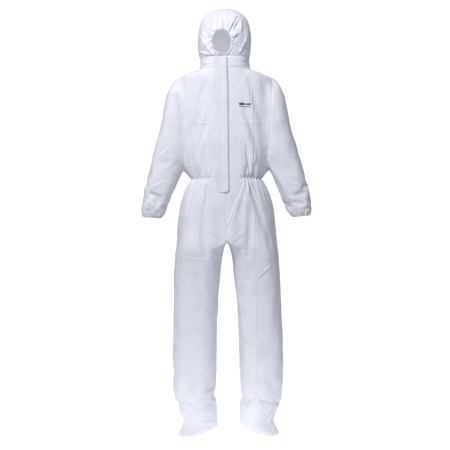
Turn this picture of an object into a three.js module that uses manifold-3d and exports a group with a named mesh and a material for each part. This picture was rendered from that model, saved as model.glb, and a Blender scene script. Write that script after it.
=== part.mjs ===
// Hooded protective coverall with attached boots, an elasticated hood, waist and cuffs,
// and a front zip under a storm flap. Millimetres, +Z up, the front faces -Y, left is the
// wearer's left (+X). The origin is in the middle of the neck, where the shoulders begin.
import * as THREE from 'three';
import { mergeVertices } from 'three/addons/utils/BufferGeometryUtils.js';
import Module from 'manifold-3d';

const wasm = await Module();
wasm.setup();

// ---- Driving dimensions ----
const NECK_HEIGHT = 1572; // neck seam above the soles; heights below are above the soles
const COLLAR_TOP = 1618;
const WALL = 3; // drawn thickness of the fabric layers
const LINING = 1.5; // drawn thickness of the elastics inside the wall
const SEAM = 0.4; // width of the slit left at a seam
const HALF_SEAM = SEAM / 2;
const ROUNDNESS = 2.6; // exponent of the oval sections: 2 is an ellipse, more is squarer
const BODY_SIDES = 20;
const SLEEVE_SIDES = 16;
const DRUM_SIDES = 64;
const FAR = 4000; // size of the blocks that cut along a plane

// The zip runs down a straight line on the front, from the chin to below the waist.
const CHIN_FRONT = -112;
const BELLY_FRONT = -140;
const ZIP_BOTTOM = 1056;
const ZIP_TOP = 1612;
const ZIP_GAP = 6; // half of the slot between the front panels

// Trunk sections: height, half width, back. The front follows the zip line.
const TRUNK = [
  [1580, 102, 90], [1572, 110, 95], [1554, 172, 106], [1537, 204, 118], [1500, 208, 128],
  [1430, 206, 137], [1300, 197, 140], [1180, 183, 130], [1105, 163, 108], [1074, 181, 124],
  [1020, 200, 144], [950, 211, 154], [870, 219, 152], [805, 222, 138],
];
const WAIST = 1105;
const WAIST_ELASTIC = 16;
const WAIST_REACH = 200; // no further out than this, so the forearms have no waist elastic
const WAIST_OPEN = 20; // half of the gap in the waist elastic behind the zip

// Hood sections: height, half width, front, back.
const HOOD = [
  [1560, 107, -114, 94], [1572, 109, -114, 95], [1618, 107, -112, 100], [1650, 113, -116, 122],
  [1694, 116, -118, 134], [1729, 114, -114, 136], [1764, 109, -106, 130], [1782, 103, -98, 124],
  [1799, 94, -86, 113], [1817, 79, -68, 97], [1832, 56, -42, 70], [1841, 30, -16, 42],
];
const FACE = { height: 1694, halfWide: 42, halfTall: 62, hemSide: 13, hemTall: 16 };
const FACE_ELASTIC = { inner: 2, outerSide: 9, outerTall: 10 }; // past the edge of the opening
const FACE_SEGMENTS = 18;
const HOOD_CENTRE_HALF = 52;

// Left leg and foot sections: height, middle x, middle y, half width, half depth, outward turn.
const LEG = [
  [900, 106, 4, 86, 124, 0], [812, 114, 1, 108, 137, 0], [766, 124, 0, 102, 128, 0],
  [679, 132, 0, 99, 114, 0], [540, 139, 0, 96, 104, 0], [350, 145, 5, 93, 96, 8],
  [180, 146, 10, 86, 90, 20],
  [95, 134, 12, 77, 84, 28], [70, 127, 7, 64, 86, 32], [48, 123, 2, 58, 92, 32],
  [34, 127, -9, 56, 106, 32], [18, 132, -22, 55, 120, 32], [0, 134, -28, 52, 126, 32],
  [-20, 134, -28, 52, 126, 32],
];
const FOOT_TURN = 32;
const FOOT_MIDDLE = new THREE.Vector3(134, -28, 0);
const BOOT_TOP = 95;
const SOLE = 4;
const HIP = { height: 900, radius: 170 }; // the legs swing about a line across the hips

// Left sleeve sections: inner x, inner height, outer x, outer height, middle y, half depth.
const SLEEVE = [
  [140, 1195, 140, 1532, 4, 84], [183, 1182, 207, 1545, 4, 94], [188, 1165, 250, 1485, 3, 97],
  [199, 1134, 283, 1340, 0, 88], [213, 1100, 312, 1228, -3, 79], [238, 1040, 345, 1108, -6, 69],
  [258, 988, 366, 1020, -9, 59], [270, 958, 370, 975, -10, 52], [286, 935, 364, 938, -10, 40],
  [292, 915, 366, 912, -10, 39],
];
const ARMHOLE = { low: new THREE.Vector3(183, 0, 1182), high: new THREE.Vector3(207, 0, 1545) };
const CUFF_SEAM = new THREE.Vector3(321.5, -10, 951.5);
const CUFF_END = new THREE.Vector3(325, -10, 936.5);
const CUFF_LEAN = 5; // degrees that the cuff leans outwards from straight down
const CUFF_ELASTIC = { near: 3, far: 10 }; // up from the end of the cuff
const ARM_REACH = 2; // how far past the sleeve's surface its cutting space goes

// Storm flap, sewn along its right edge and stuck down along its left one.
const FLAP = { sewn: -37, free: 14, lift: 5.4, thick: 1, bottom: 1040, top: 1616, corner: 18 };
const FLAP_SEGMENTS = 6; // in each rounded corner
const WELT = { from: -46, to: -37.6, back: 1.6 };
const ADHESIVE = { from: 8, to: 12.5, thick: 0.3, top: 1612 };

const COIL = { inner: 0.4, outer: 2.2, front: 1, back: 3 };
const TAPE = { inner: 2.6, outer: 15, front: 4.9, back: 5.6 };
const SLIDER = {
  height: 1596, length: 12, half: 4.4, plate: 1.4, flange: 1.2, overlap: 0.2,
  lug: { inner: 2, outer: 3.2, bottom: 4.4, top: 1.6 }, // the last two down from the slider's top
};
const PULL = {
  drop: 24, half: 3, waist: 1.6, neck: 3, shoulder: 7, front: -2.4, back: -1.4,
  hinge: -2.4, hingeDown: 3, barrel: 1.3, bore: 0.7, pin: 0.4, pinHalf: 3.1,
};
const PIN_SIDES = 16;
const STOP = { tall: 4, proud: 0.6 };

const MARK = { from: 56, to: 110, low: 1398, high: 1424, near: 0.4, far: 1.4 };

// ---- Colours ----
const COLOURS = {
  fabric: '#e8eaf2', lining: '#dfe1ea', elastic: '#f2f2f2', tape: '#eceef3', coil: '#f4f4f4',
  slider: '#e9eaec', sole: '#d7d9df', mark: '#2c3c6c', adhesive: '#cfd8e4',
};

// ---- Solids ----
function toSolid(geometry) {
  geometry.deleteAttribute('normal');
  geometry.deleteAttribute('uv');
  const merged = mergeVertices(geometry, 1e-4);
  return new wasm.Manifold(new wasm.Mesh({
    numProp: 3,
    vertProperties: new Float32Array(merged.attributes.position.array),
    triVerts: new Uint32Array(merged.index.array),
  }));
}

function toGeometry(solid) {
  const mesh = solid.getMesh();
  const geometry = new THREE.BufferGeometry();
  geometry.setAttribute('position', new THREE.BufferAttribute(mesh.vertProperties, 3));
  geometry.setIndex(new THREE.BufferAttribute(mesh.triVerts, 1));
  geometry.computeVertexNormals();
  return geometry;
}

// A closed solid through a stack of loops, each with the same number of points.
function loft(loops) {
  const sides = loops[0].length;
  const points = loops.flat();
  const last = loops.length - 1;
  points.push(middleOf(loops[0]), middleOf(loops[last]));
  const faces = [];
  for (let ring = 0; ring < last; ring += 1) {
    for (let side = 0; side < sides; side += 1) {
      const next = (side + 1) % sides;
      const a = ring * sides + side;
      const b = ring * sides + next;
      faces.push(a, b, b + sides, a, b + sides, a + sides);
    }
  }
  for (let side = 0; side < sides; side += 1) {
    const next = (side + 1) % sides;
    faces.push(points.length - 2, next, side);
    faces.push(points.length - 1, last * sides + side, last * sides + next);
  }
  const geometry = new THREE.BufferGeometry().setFromPoints(points);
  geometry.setIndex(faces);
  return toSolid(outward(geometry));
}

function middleOf(loop) {
  const middle = new THREE.Vector3();
  loop.forEach((point) => middle.add(point));
  return middle.divideScalar(loop.length);
}

// Turns every face over if the faces point inwards.
function outward(geometry) {
  const at = geometry.attributes.position;
  const index = geometry.index.array;
  const [a, b, c] = [new THREE.Vector3(), new THREE.Vector3(), new THREE.Vector3()];
  let volume = 0;
  for (let n = 0; n < index.length; n += 3) {
    a.fromBufferAttribute(at, index[n]);
    b.fromBufferAttribute(at, index[n + 1]);
    c.fromBufferAttribute(at, index[n + 2]);
    volume += a.dot(b.cross(c));
  }
  if (volume < 0) {
    index.reverse();
  }
  return geometry;
}

// An oval loop of points round a middle, along two directions.
function oval(middle, across, along, halfAcross, halfAlong, sides) {
  const power = 2 / ROUNDNESS;
  return Array.from({ length: sides }, (_, n) => {
    const angle = (2 * Math.PI * n) / sides;
    const [u, v] = [Math.cos(angle), Math.sin(angle)];
    return middle.clone()
      .addScaledVector(across, halfAcross * Math.sign(u) * Math.abs(u) ** power)
      .addScaledVector(along, halfAlong * Math.sign(v) * Math.abs(v) ** power);
  });
}

// A large block whose face passes through a point and which lies on the side the normal points to.
function beyond(point, normal) {
  const block = new THREE.BoxGeometry(FAR, FAR, FAR);
  const up = new THREE.Vector3(0, 0, 1);
  block.translate(0, 0, FAR / 2);
  block.applyQuaternion(new THREE.Quaternion().setFromUnitVectors(up, normal.clone().normalize()));
  block.translate(point.x, point.y, point.z);
  return toSolid(block);
}

function box(x0, x1, y0, y1, z0, z1) {
  const block = new THREE.BoxGeometry(x1 - x0, y1 - y0, z1 - z0);
  block.translate((x0 + x1) / 2, (y0 + y1) / 2, (z0 + z1) / 2);
  return toSolid(block);
}

const slab = (z0, z1) => box(-FAR, FAR, -FAR, FAR, z0, z1);

function shared(solids) {
  return solids.reduce((whole, solid) => whole.intersect(solid));
}

function joined(solids) {
  return solids.reduce((whole, solid) => whole.add(solid));
}

// ---- The shape of the worn suit, grown or shrunk by an offset ----
const frontAt = (z) => THREE.MathUtils.mapLinear(
  Math.max(z, ZIP_BOTTOM), COLLAR_TOP, ZIP_BOTTOM, CHIN_FRONT, BELLY_FRONT,
);

function levelLoop(z, halfWidth, front, back, offset) {
  const middle = new THREE.Vector3(0, (front + back) / 2, z);
  const halfDeep = (back - front) / 2 + offset;
  return oval(middle, new THREE.Vector3(1, 0, 0), new THREE.Vector3(0, 1, 0),
    halfWidth + offset, halfDeep, BODY_SIDES);
}

// A closed end of a loft moves with the offset, so that it keeps its wall.
function trunkSolid(offset) {
  const last = TRUNK.length - 1;
  return loft(TRUNK.map(([z, half, back], ring) => (
    levelLoop(ring === last ? z - offset : z, half, frontAt(z), back, offset)
  )));
}

function hoodSolid(offset) {
  const last = HOOD.length - 1;
  return loft(HOOD.map(([z, half, front, back], ring) => (
    levelLoop(ring === last ? z + offset : z, half, front, back, offset)
  )));
}

function legSolid(side, offset) {
  return loft(LEG.map(([z, x, y, halfWide, halfDeep, turn], ring) => {
    const angle = THREE.MathUtils.degToRad(turn) * side;
    const across = new THREE.Vector3(Math.cos(angle), Math.sin(angle), 0);
    const along = new THREE.Vector3(-Math.sin(angle), Math.cos(angle), 0);
    const middle = new THREE.Vector3(side * x, y, ring === 0 ? z + offset : z);
    return oval(middle, across, along, halfWide + offset, halfDeep + offset, BODY_SIDES);
  }));
}

function sleeveSolid(side, offset) {
  const deep = new THREE.Vector3(0, 1, 0);
  const last = SLEEVE.length - 1;
  return loft(SLEEVE.map(([x0, z0, x1, z1, y, halfDeep], ring) => {
    const lower = ring === last ? offset : 0;
    const inwards = ring === 0 ? offset : 0;
    const inner = new THREE.Vector3(side * (x0 - inwards), y, z0 - lower);
    const outer = new THREE.Vector3(side * (x1 - inwards), y, z1 - lower);
    const across = outer.clone().sub(inner);
    const half = across.length() / 2;
    const middle = inner.add(outer).divideScalar(2);
    return oval(middle, across.normalize(), deep, half + offset, halfDeep + offset, SLEEVE_SIDES);
  }));
}

const suitSolid = (offset) => joined([
  trunkSolid(offset), legSolid(1, offset), legSolid(-1, offset),
  sleeveSolid(1, offset), sleeveSolid(-1, offset),
]);

const layer = (solidAt, outer, inner) => solidAt(outer).subtract(solidAt(inner));

const suit = layer(suitSolid, 0, -WALL);
const hood = layer(hoodSolid, 0, -WALL);
const suitLining = layer(suitSolid, -WALL - SEAM, -WALL - SEAM - LINING);
const hoodLining = layer(hoodSolid, -WALL - SEAM, -WALL - SEAM - LINING);

// ---- Regions that the panels are cut from ----
const X = new THREE.Vector3(1, 0, 0);
const Y = new THREE.Vector3(0, 1, 0);
const Z = new THREE.Vector3(0, 0, 1);

// The space on one side of the middle plane across an axis, half a seam away from it.
function sideOf(axis, side) {
  return beyond(axis.clone().multiplyScalar(side * HALF_SEAM), axis.clone().multiplyScalar(side));
}

const towards = (side) => sideOf(X, side);
const facing = (side) => sideOf(Y, side);

function mirrored(point, side) {
  return new THREE.Vector3(side * point.x, point.y, point.z);
}

// The space round one sleeve past its armhole; a larger margin leaves a slit to the trunk.
function armSpace(side, margin) {
  const up = ARMHOLE.high.clone().sub(ARMHOLE.low).normalize();
  const out = new THREE.Vector3(up.z, 0, -up.x);
  const point = ARMHOLE.low.clone().addScaledVector(out, -margin);
  const space = sleeveSolid(side, ARM_REACH + margin);
  return space.intersect(beyond(mirrored(point, side), mirrored(out, side)));
}

function cuffDown(side) {
  const lean = THREE.MathUtils.degToRad(CUFF_LEAN);
  return new THREE.Vector3(side * Math.sin(lean), 0, -Math.cos(lean));
}

function hipCylinder(radius) {
  const drum = new THREE.CylinderGeometry(radius, radius, FAR, DRUM_SIDES);
  drum.rotateZ(Math.PI / 2);
  drum.translate(0, 0, HIP.height);
  return toSolid(drum);
}

// ---- Sub-parts ----
const root = new THREE.Group();
root.position.z = -NECK_HEIGHT;

function addPiece(name, solid, colour, roughness = 0.85, metalness = 0) {
  const material = new THREE.MeshStandardMaterial({ color: COLOURS[colour], roughness, metalness });
  const mesh = new THREE.Mesh(toGeometry(solid), material);
  mesh.name = name;
  root.add(mesh);
}

const SIDES = [['left', 1], ['right', -1]];

function makeTrunk() {
  const region = joined([hipCylinder(HIP.radius - HALF_SEAM), slab(HIP.height, NECK_HEIGHT - HALF_SEAM)]);
  const trunk = suit.intersect(region).subtract(armSpace(1, SEAM)).subtract(armSpace(-1, SEAM));
  const slot = box(-ZIP_GAP, ZIP_GAP, -FAR, 0, ZIP_BOTTOM, FAR);
  for (const [name, side] of SIDES) {
    const half = trunk.intersect(towards(side));
    addPiece(`front_panel_${name}`, half.intersect(facing(-1)).subtract(slot), 'fabric');
    addPiece(`back_panel_${name}`, half.intersect(facing(1)), 'fabric');
  }
  const elastic = suitLining.intersect(slab(WAIST - WAIST_ELASTIC / 2, WAIST + WAIST_ELASTIC / 2));
  const trunkOnly = box(-WAIST_REACH, WAIST_REACH, -FAR, FAR, 0, FAR);
  const zipSide = box(-WAIST_OPEN, WAIST_OPEN, -FAR, 0, 0, FAR);
  addPiece('waist_elastic', elastic.intersect(trunkOnly).subtract(zipSide), 'elastic');
}

function makeNeckBand() {
  const band = hood.intersect(slab(NECK_HEIGHT + HALF_SEAM, COLLAR_TOP - HALF_SEAM));
  addPiece('neck_band', band.subtract(box(-ZIP_GAP, ZIP_GAP, -FAR, 0, 0, FAR)), 'fabric');
}

// An oval block along Y round the face opening, in front of the head only.
function faceBlock(grow, growTall) {
  const outline = new THREE.Shape();
  outline.absellipse(0, FACE.height, FACE.halfWide + grow, FACE.halfTall + growTall, 0, 2 * Math.PI);
  const block = new THREE.ExtrudeGeometry(outline, {
    depth: FAR, bevelEnabled: false, curveSegments: FACE_SEGMENTS,
  });
  block.rotateX(Math.PI / 2);
  return toSolid(block);
}

function makeHood() {
  const upper = beyond(new THREE.Vector3(0, 0, COLLAR_TOP + HALF_SEAM), Z);
  const cloth = hood.intersect(upper);
  const opening = faceBlock(0, 0);
  const hemEdge = faceBlock(FACE.hemSide, FACE.hemTall);
  const hemGap = faceBlock(FACE.hemSide + SEAM, FACE.hemTall + SEAM);
  const panels = cloth.subtract(hemGap);
  const centreStrip = (half) => joined([
    box(-half, half, 0, FAR, 0, FAR), box(-half, half, -FAR, FAR, FACE.height, FAR),
  ]);
  addPiece('hood_centre_panel', panels.intersect(centreStrip(HOOD_CENTRE_HALF)), 'fabric');
  const sidePanels = panels.subtract(centreStrip(HOOD_CENTRE_HALF + SEAM));
  for (const [name, side] of SIDES) {
    addPiece(`hood_side_panel_${name}`, sidePanels.intersect(towards(side)), 'fabric');
  }
  addPiece('hood_face_hem', cloth.intersect(hemEdge).subtract(opening), 'fabric');
  const { inner, outerSide, outerTall } = FACE_ELASTIC;
  const elastic = shared([hoodLining, upper, faceBlock(outerSide, outerTall)]);
  addPiece('hood_face_elastic', elastic.subtract(faceBlock(inner, inner)), 'elastic');
}

function makeSleeves() {
  for (const [name, side] of SIDES) {
    const down = cuffDown(side);
    const up = down.clone().negate();
    const seam = mirrored(CUFF_SEAM, side);
    const end = mirrored(CUFF_END, side);
    const arm = armSpace(side, 0);
    const hemRegion = beyond(seam.clone().addScaledVector(down, HALF_SEAM), down);
    const endRegion = beyond(end, up);
    const armRegion = beyond(seam.addScaledVector(up, HALF_SEAM), up);
    addPiece(`sleeve_${name}`, shared([suit, arm, armRegion]), 'fabric');
    addPiece(`cuff_hem_${name}`, shared([suit, arm, hemRegion, endRegion]), 'fabric');
    const elasticEnd = beyond(end.clone().addScaledVector(up, CUFF_ELASTIC.near), up);
    const elasticStart = beyond(end.clone().addScaledVector(up, CUFF_ELASTIC.far), down);
    addPiece(`cuff_elastic_${name}`, shared([suitLining, arm, elasticStart, elasticEnd]), 'elastic');
  }
}

function makeLegs() {
  const swing = hipCylinder(HIP.radius + HALF_SEAM);
  const below = slab(BOOT_TOP + HALF_SEAM, HIP.height);
  for (const [name, side] of SIDES) {
    const leg = shared([suit, below, towards(side)]).subtract(swing);
    addPiece(`leg_front_${name}`, leg.intersect(facing(-1)), 'fabric');
    addPiece(`leg_back_${name}`, leg.intersect(facing(1)), 'fabric');
  }
}

function makeBoots() {
  const turn = THREE.MathUtils.degToRad(FOOT_TURN);
  for (const [name, side] of SIDES) {
    const middle = mirrored(FOOT_MIDDLE, side);
    const out = new THREE.Vector3(side * Math.cos(turn), Math.sin(turn), 0);
    const boot = shared([suit, towards(side), slab(SOLE + SEAM, BOOT_TOP - HALF_SEAM)]);
    for (const [part, way] of [['outer', 1], ['inner', -1]]) {
      const normal = out.clone().multiplyScalar(way);
      const half = boot.intersect(beyond(middle.clone().addScaledVector(normal, HALF_SEAM), normal));
      addPiece(`boot_${part}_${name}`, half, 'fabric');
    }
    addPiece(`boot_sole_${name}`, legSolid(side, 0).intersect(slab(0, SOLE)), 'sole');
  }
}

// ---- Zip and flap, drawn in a frame whose z runs up the zip line from its foot ----
const zipUp = new THREE.Vector3(0, CHIN_FRONT - BELLY_FRONT, COLLAR_TOP - ZIP_BOTTOM).normalize();
const zipLean = Math.atan2(-zipUp.y, zipUp.z);
const zipFoot = new THREE.Vector3(0, BELLY_FRONT, ZIP_BOTTOM);
const along = (height) => (height - ZIP_BOTTOM) / zipUp.z;

function onFront(geometry) {
  geometry.rotateX(zipLean);
  geometry.translate(zipFoot.x, zipFoot.y, zipFoot.z);
  return toSolid(geometry);
}

// A straight strip beside the zip: across x, behind the front face by y, between two heights.
function strip(x0, x1, y0, y1, low, high) {
  const block = new THREE.BoxGeometry(x1 - x0, y1 - y0, along(high) - along(low));
  block.translate((x0 + x1) / 2, (y0 + y1) / 2, (along(low) + along(high)) / 2);
  return onFront(block);
}

function makeZip() {
  for (const [name, side] of SIDES) {
    const edges = (piece) => (side > 0 ? [piece.inner, piece.outer] : [-piece.outer, -piece.inner]);
    const [t0, t1] = edges(TAPE);
    const [c0, c1] = edges(COIL);
    addPiece(`zip_tape_${name}`, strip(t0, t1, TAPE.front, TAPE.back, ZIP_BOTTOM, ZIP_TOP), 'tape');
    const coilLow = ZIP_BOTTOM + STOP.tall + SEAM;
    const coilHigh = ZIP_TOP - STOP.tall;
    addPiece(`zip_coil_${name}`, strip(c0, c1, COIL.front, COIL.back, coilLow, coilHigh), 'coil', 0.5);
    const stop = strip(c0, c1, COIL.front - STOP.proud, COIL.back, coilHigh + SEAM, ZIP_TOP);
    addPiece(`zip_top_stop_${name}`, stop, 'coil', 0.5);
  }
  const [low, high] = [ZIP_BOTTOM + SEAM, ZIP_BOTTOM + STOP.tall];
  const foot = strip(-COIL.outer, COIL.outer, COIL.front - STOP.proud, COIL.back, low, high);
  addPiece('zip_bottom_stop', foot, 'coil', 0.5);
}

function crossPin(radius, half, y, z) {
  const pin = new THREE.CylinderGeometry(radius, radius, 2 * half, PIN_SIDES);
  pin.rotateZ(Math.PI / 2);
  pin.translate(0, y, z);
  return onFront(pin);
}

// A strip on each side of the middle, from x0 to x1 away from it.
function stripPair(x0, x1, y0, y1, low, high) {
  return [strip(x0, x1, y0, y1, low, high), strip(-x1, -x0, y0, y1, low, high)];
}

function makeSlider() {
  const { half, lug, overlap } = SLIDER;
  const high = SLIDER.height;
  const low = high - SLIDER.length;
  const face = COIL.front - SEAM;
  const plate = strip(-half, half, face - SLIDER.plate, face, low, high);
  const near = COIL.outer + SEAM;
  const flanges = stripPair(near, near + SLIDER.flange, face - overlap, COIL.back, low, high);
  const lugFront = PULL.hinge - PULL.barrel;
  const lugs = stripPair(lug.inner, lug.outer, lugFront, face - overlap, high - lug.bottom, high - lug.top);
  const hinge = along(high) - PULL.hingeDown;
  const bore = crossPin(PULL.bore, half, PULL.hinge, hinge);
  addPiece('zip_slider', joined([plate, ...flanges, ...lugs]).subtract(bore), 'slider', 0.45);
  addPiece('zip_pull_pin', crossPin(PULL.pin, PULL.pinHalf, PULL.hinge, hinge), 'slider', 0.45);
  const barrel = crossPin(PULL.barrel, PULL.waist, PULL.hinge, hinge);
  addPiece('zip_pull', pullTab(hinge).add(barrel).subtract(bore), 'slider', 0.45);
}

// The flat tab of the pull: a narrow neck, two shoulders and a round end.
function pullTab(hinge) {
  const { drop, half, waist, neck, shoulder, front, back } = PULL;
  const outline = new THREE.Shape();
  outline.moveTo(-waist, 0);
  outline.lineTo(-waist, -neck);
  outline.lineTo(-half, -shoulder);
  outline.lineTo(-half, half - drop);
  outline.absarc(0, half - drop, half, Math.PI, 2 * Math.PI);
  outline.lineTo(half, -shoulder);
  outline.lineTo(waist, -neck);
  outline.lineTo(waist, 0);
  const tab = new THREE.ExtrudeGeometry(outline, { depth: back - front, bevelEnabled: false });
  tab.rotateX(Math.PI / 2);
  tab.translate(0, back, hinge);
  return onFront(tab);
}

function makeFlap() {
  const { sewn, free, lift, thick, bottom, top, corner } = FLAP;
  const [low, high] = [along(bottom), along(top)];
  const plate = new THREE.Shape();
  plate.moveTo(sewn, high);
  plate.lineTo(sewn, low + corner);
  plate.absarc(sewn + corner, low + corner, corner, Math.PI, 1.5 * Math.PI);
  plate.lineTo(free - corner, low);
  plate.absarc(free - corner, low + corner, corner, 1.5 * Math.PI, 2 * Math.PI);
  plate.lineTo(free, high);
  const sheet = new THREE.ExtrudeGeometry(plate, {
    depth: thick, bevelEnabled: false, curveSegments: FLAP_SEGMENTS,
  });
  sheet.rotateX(Math.PI / 2);
  sheet.translate(0, -lift, 0);
  addPiece('storm_flap', onFront(sheet), 'fabric');
  const straight = bottom + corner;
  const face = SEAM - lift;
  const stick = strip(ADHESIVE.from, ADHESIVE.to, face, face + ADHESIVE.thick, straight, ADHESIVE.top);
  addPiece('flap_adhesive_strip', stick, 'adhesive', 0.4);
  const welt = strip(WELT.from, WELT.to, -lift - thick, WELT.back, straight, top);
  addPiece('flap_seam_welt', welt, 'fabric');
}

function makeChestMark() {
  const patch = layer(suitSolid, MARK.far, MARK.near);
  addPiece('chest_mark', patch.intersect(box(MARK.from, MARK.to, -FAR, 0, MARK.low, MARK.high)), 'mark', 0.7);
}

makeTrunk();
makeNeckBand();
makeHood();
makeSleeves();
makeLegs();
makeBoots();
makeZip();
makeSlider();
makeFlap();
makeChestMark();

export default root;
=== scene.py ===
"""A hooded disposable protective coverall, as if worn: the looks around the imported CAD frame.

Metres, +Z up, the front faces -Y, left is the wearer's left (+X), and the origin is in the
middle of the neck seam. The sections below repeat the CAD's, in millimetres above the soles.
"""
import math

import bmesh
import bpy
import numpy as np
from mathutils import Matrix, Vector
from mathutils.bvhtree import BVHTree


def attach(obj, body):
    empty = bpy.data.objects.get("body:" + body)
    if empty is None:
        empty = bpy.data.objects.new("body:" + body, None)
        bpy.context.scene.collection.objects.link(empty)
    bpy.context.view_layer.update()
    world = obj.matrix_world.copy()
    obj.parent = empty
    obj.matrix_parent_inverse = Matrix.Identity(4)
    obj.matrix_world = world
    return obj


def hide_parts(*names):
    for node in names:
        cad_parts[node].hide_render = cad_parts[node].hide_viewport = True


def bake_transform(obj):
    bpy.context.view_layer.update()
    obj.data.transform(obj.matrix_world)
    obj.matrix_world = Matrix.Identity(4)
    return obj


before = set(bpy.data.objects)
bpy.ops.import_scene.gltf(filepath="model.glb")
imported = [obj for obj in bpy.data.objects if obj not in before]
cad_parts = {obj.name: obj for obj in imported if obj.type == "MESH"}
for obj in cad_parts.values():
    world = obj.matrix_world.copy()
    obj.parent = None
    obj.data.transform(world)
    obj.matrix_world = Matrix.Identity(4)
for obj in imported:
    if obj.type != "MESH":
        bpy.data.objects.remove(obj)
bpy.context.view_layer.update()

# ---- Driving dimensions ----
NECK_HEIGHT = 1572
COLLAR_TOP = 1618
CHIN_FRONT, BELLY_FRONT = -112, -140
ZIP_BOTTOM, ZIP_TOP = 1056, 1612
ROUNDNESS = 2.6

TRUNK = [
    [1580, 102, 90], [1572, 110, 95], [1554, 172, 106], [1537, 204, 118], [1500, 208, 128],
    [1430, 206, 137], [1300, 197, 140], [1180, 183, 130], [1105, 163, 108], [1074, 181, 124],
    [1020, 200, 144], [950, 211, 154], [870, 219, 152], [805, 222, 138],
]
HOOD = [
    [1560, 107, -114, 94], [1572, 109, -114, 95], [1618, 107, -112, 100], [1650, 113, -116, 122],
    [1694, 116, -118, 134], [1729, 114, -114, 136], [1764, 109, -106, 130], [1782, 103, -98, 124],
    [1799, 94, -86, 113], [1817, 79, -68, 97], [1832, 56, -42, 70], [1841, 30, -16, 42],
]
LEG = [
    [900, 106, 4, 86, 124, 0], [812, 114, 1, 108, 137, 0], [766, 124, 0, 102, 128, 0],
    [679, 132, 0, 99, 114, 0], [540, 139, 0, 96, 104, 0], [350, 145, 5, 93, 96, 8],
    [180, 146, 10, 86, 90, 20], [95, 134, 12, 77, 84, 28], [70, 127, 7, 64, 86, 32],
    [48, 123, 2, 58, 92, 32], [34, 127, -9, 56, 106, 32], [18, 132, -22, 55, 120, 32],
    [0, 134, -28, 52, 126, 32],
]
SLEEVE = [
    [140, 1195, 140, 1532, 4, 84], [183, 1182, 207, 1545, 4, 94], [188, 1165, 250, 1485, 3, 97],
    [199, 1134, 283, 1340, 0, 88], [213, 1100, 312, 1228, -3, 79], [238, 1040, 345, 1108, -6, 69],
    [258, 988, 366, 1020, -9, 59], [270, 958, 370, 975, -10, 52], [286, 935, 364, 938, -10, 40],
    [292, 915, 366, 912, -10, 39],
]
MM = 0.001
WAIST_Z = (1105 - NECK_HEIGHT) * MM
BOOT_Z = (95 - NECK_HEIGHT) * MM
SOLE_Z = (4 - NECK_HEIGHT) * MM
FLOOR_Z = -NECK_HEIGHT * MM
COLLAR_Z = (COLLAR_TOP - NECK_HEIGHT) * MM
ZIP_LOW_Z = (ZIP_BOTTOM - NECK_HEIGHT) * MM
ZIP_TOP_Z = (ZIP_TOP - NECK_HEIGHT) * MM
VOXEL = 0.009
CAMERA_AWAY, CAMERA_Z = 3.4, -0.622


# ---- Small numeric helpers ----
def smooth_rows(table, steps):
    """Rows between the rows of a table, on a Catmull-Rom curve through them."""
    rows = np.array(table, float)
    ends = np.vstack([2 * rows[0] - rows[1], rows, 2 * rows[-1] - rows[-2]])
    out = []
    for n in range(len(rows) - 1):
        a, b, c, d = ends[n:n + 4]
        for t in np.arange(steps) / steps:
            cubic = (2 * b + (c - a) * t + (2 * a - 5 * b + 4 * c - d) * t ** 2
                     + (3 * b - a - 3 * c + d) * t ** 3) / 2
            out.append(cubic)
    out.append(rows[-1])
    return np.array(out)


def turns(count):
    """Angles spread evenly round a circle."""
    return np.arange(count) * 2 * np.pi / count


def oval(sides, power=2 / ROUNDNESS):
    """Points of a unit superellipse."""
    u, v = np.cos(turns(sides)), np.sin(turns(sides))
    return np.sign(u) * np.abs(u) ** power, np.sign(v) * np.abs(v) ** power


def step(low, high, x):
    """0 below low, 1 above high, smooth between them."""
    t = np.clip((x - low) / (high - low), 0, 1)
    return t * t * (3 - 2 * t)


def bell(x, width):
    return np.exp(-(x / width) ** 2)


def lattice(cells, seed):
    return np.random.default_rng(seed).uniform(-1, 1, (cells, cells, cells))


NOISE = lattice(32, 7)


def noise(points, scale, seed=0):
    """Smooth noise from -1 to 1 at points, with one bump per scale metres."""
    p = points / scale + np.array([17.3, 5.1, 9.7]) * (seed + 1)
    base = np.floor(p).astype(int)
    t = p - base
    t = t * t * t * (t * (6 * t - 15) + 10)
    total = np.zeros(len(p))
    for corner in np.ndindex(2, 2, 2):
        at = (base + corner) % 32
        weight = np.prod(np.where(np.array(corner) == 1, t, 1 - t), axis=1)
        total += weight * NOISE[at[:, 0], at[:, 1], at[:, 2]]
    return total


# ---- Meshes ----
def link(name, mesh):
    thing = bpy.data.objects.new(name, mesh)
    bpy.context.scene.collection.objects.link(thing)
    return thing


def mesh_from(name, points, faces):
    mesh = bpy.data.meshes.new(name)
    mesh.from_pydata([tuple(p) for p in points], [], [tuple(map(int, f)) for f in faces])
    mesh.update()
    return mesh


def tube_faces(rings, sides):
    """Quads between rings of points that close on themselves."""
    ring, side = np.meshgrid(np.arange(rings - 1), np.arange(sides), indexing="ij")
    a = ring * sides + side
    b = ring * sides + (side + 1) % sides
    return np.stack([a, b, b + sides, a + sides], -1).reshape(-1, 4)


def lofted(loops):
    """Points and faces of a closed solid through loops of equal length."""
    rings, sides = loops.shape[:2]
    faces = [list(f) for f in tube_faces(rings, sides)]
    faces.append(list(range(sides))[::-1])
    faces.append(list(range((rings - 1) * sides, rings * sides)))
    return loops.reshape(-1, 3), faces


def front_at(height):
    share = np.clip((height - ZIP_BOTTOM) / (COLLAR_TOP - ZIP_BOTTOM), 0, None)
    return BELLY_FRONT + share * (CHIN_FRONT - BELLY_FRONT)


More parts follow.
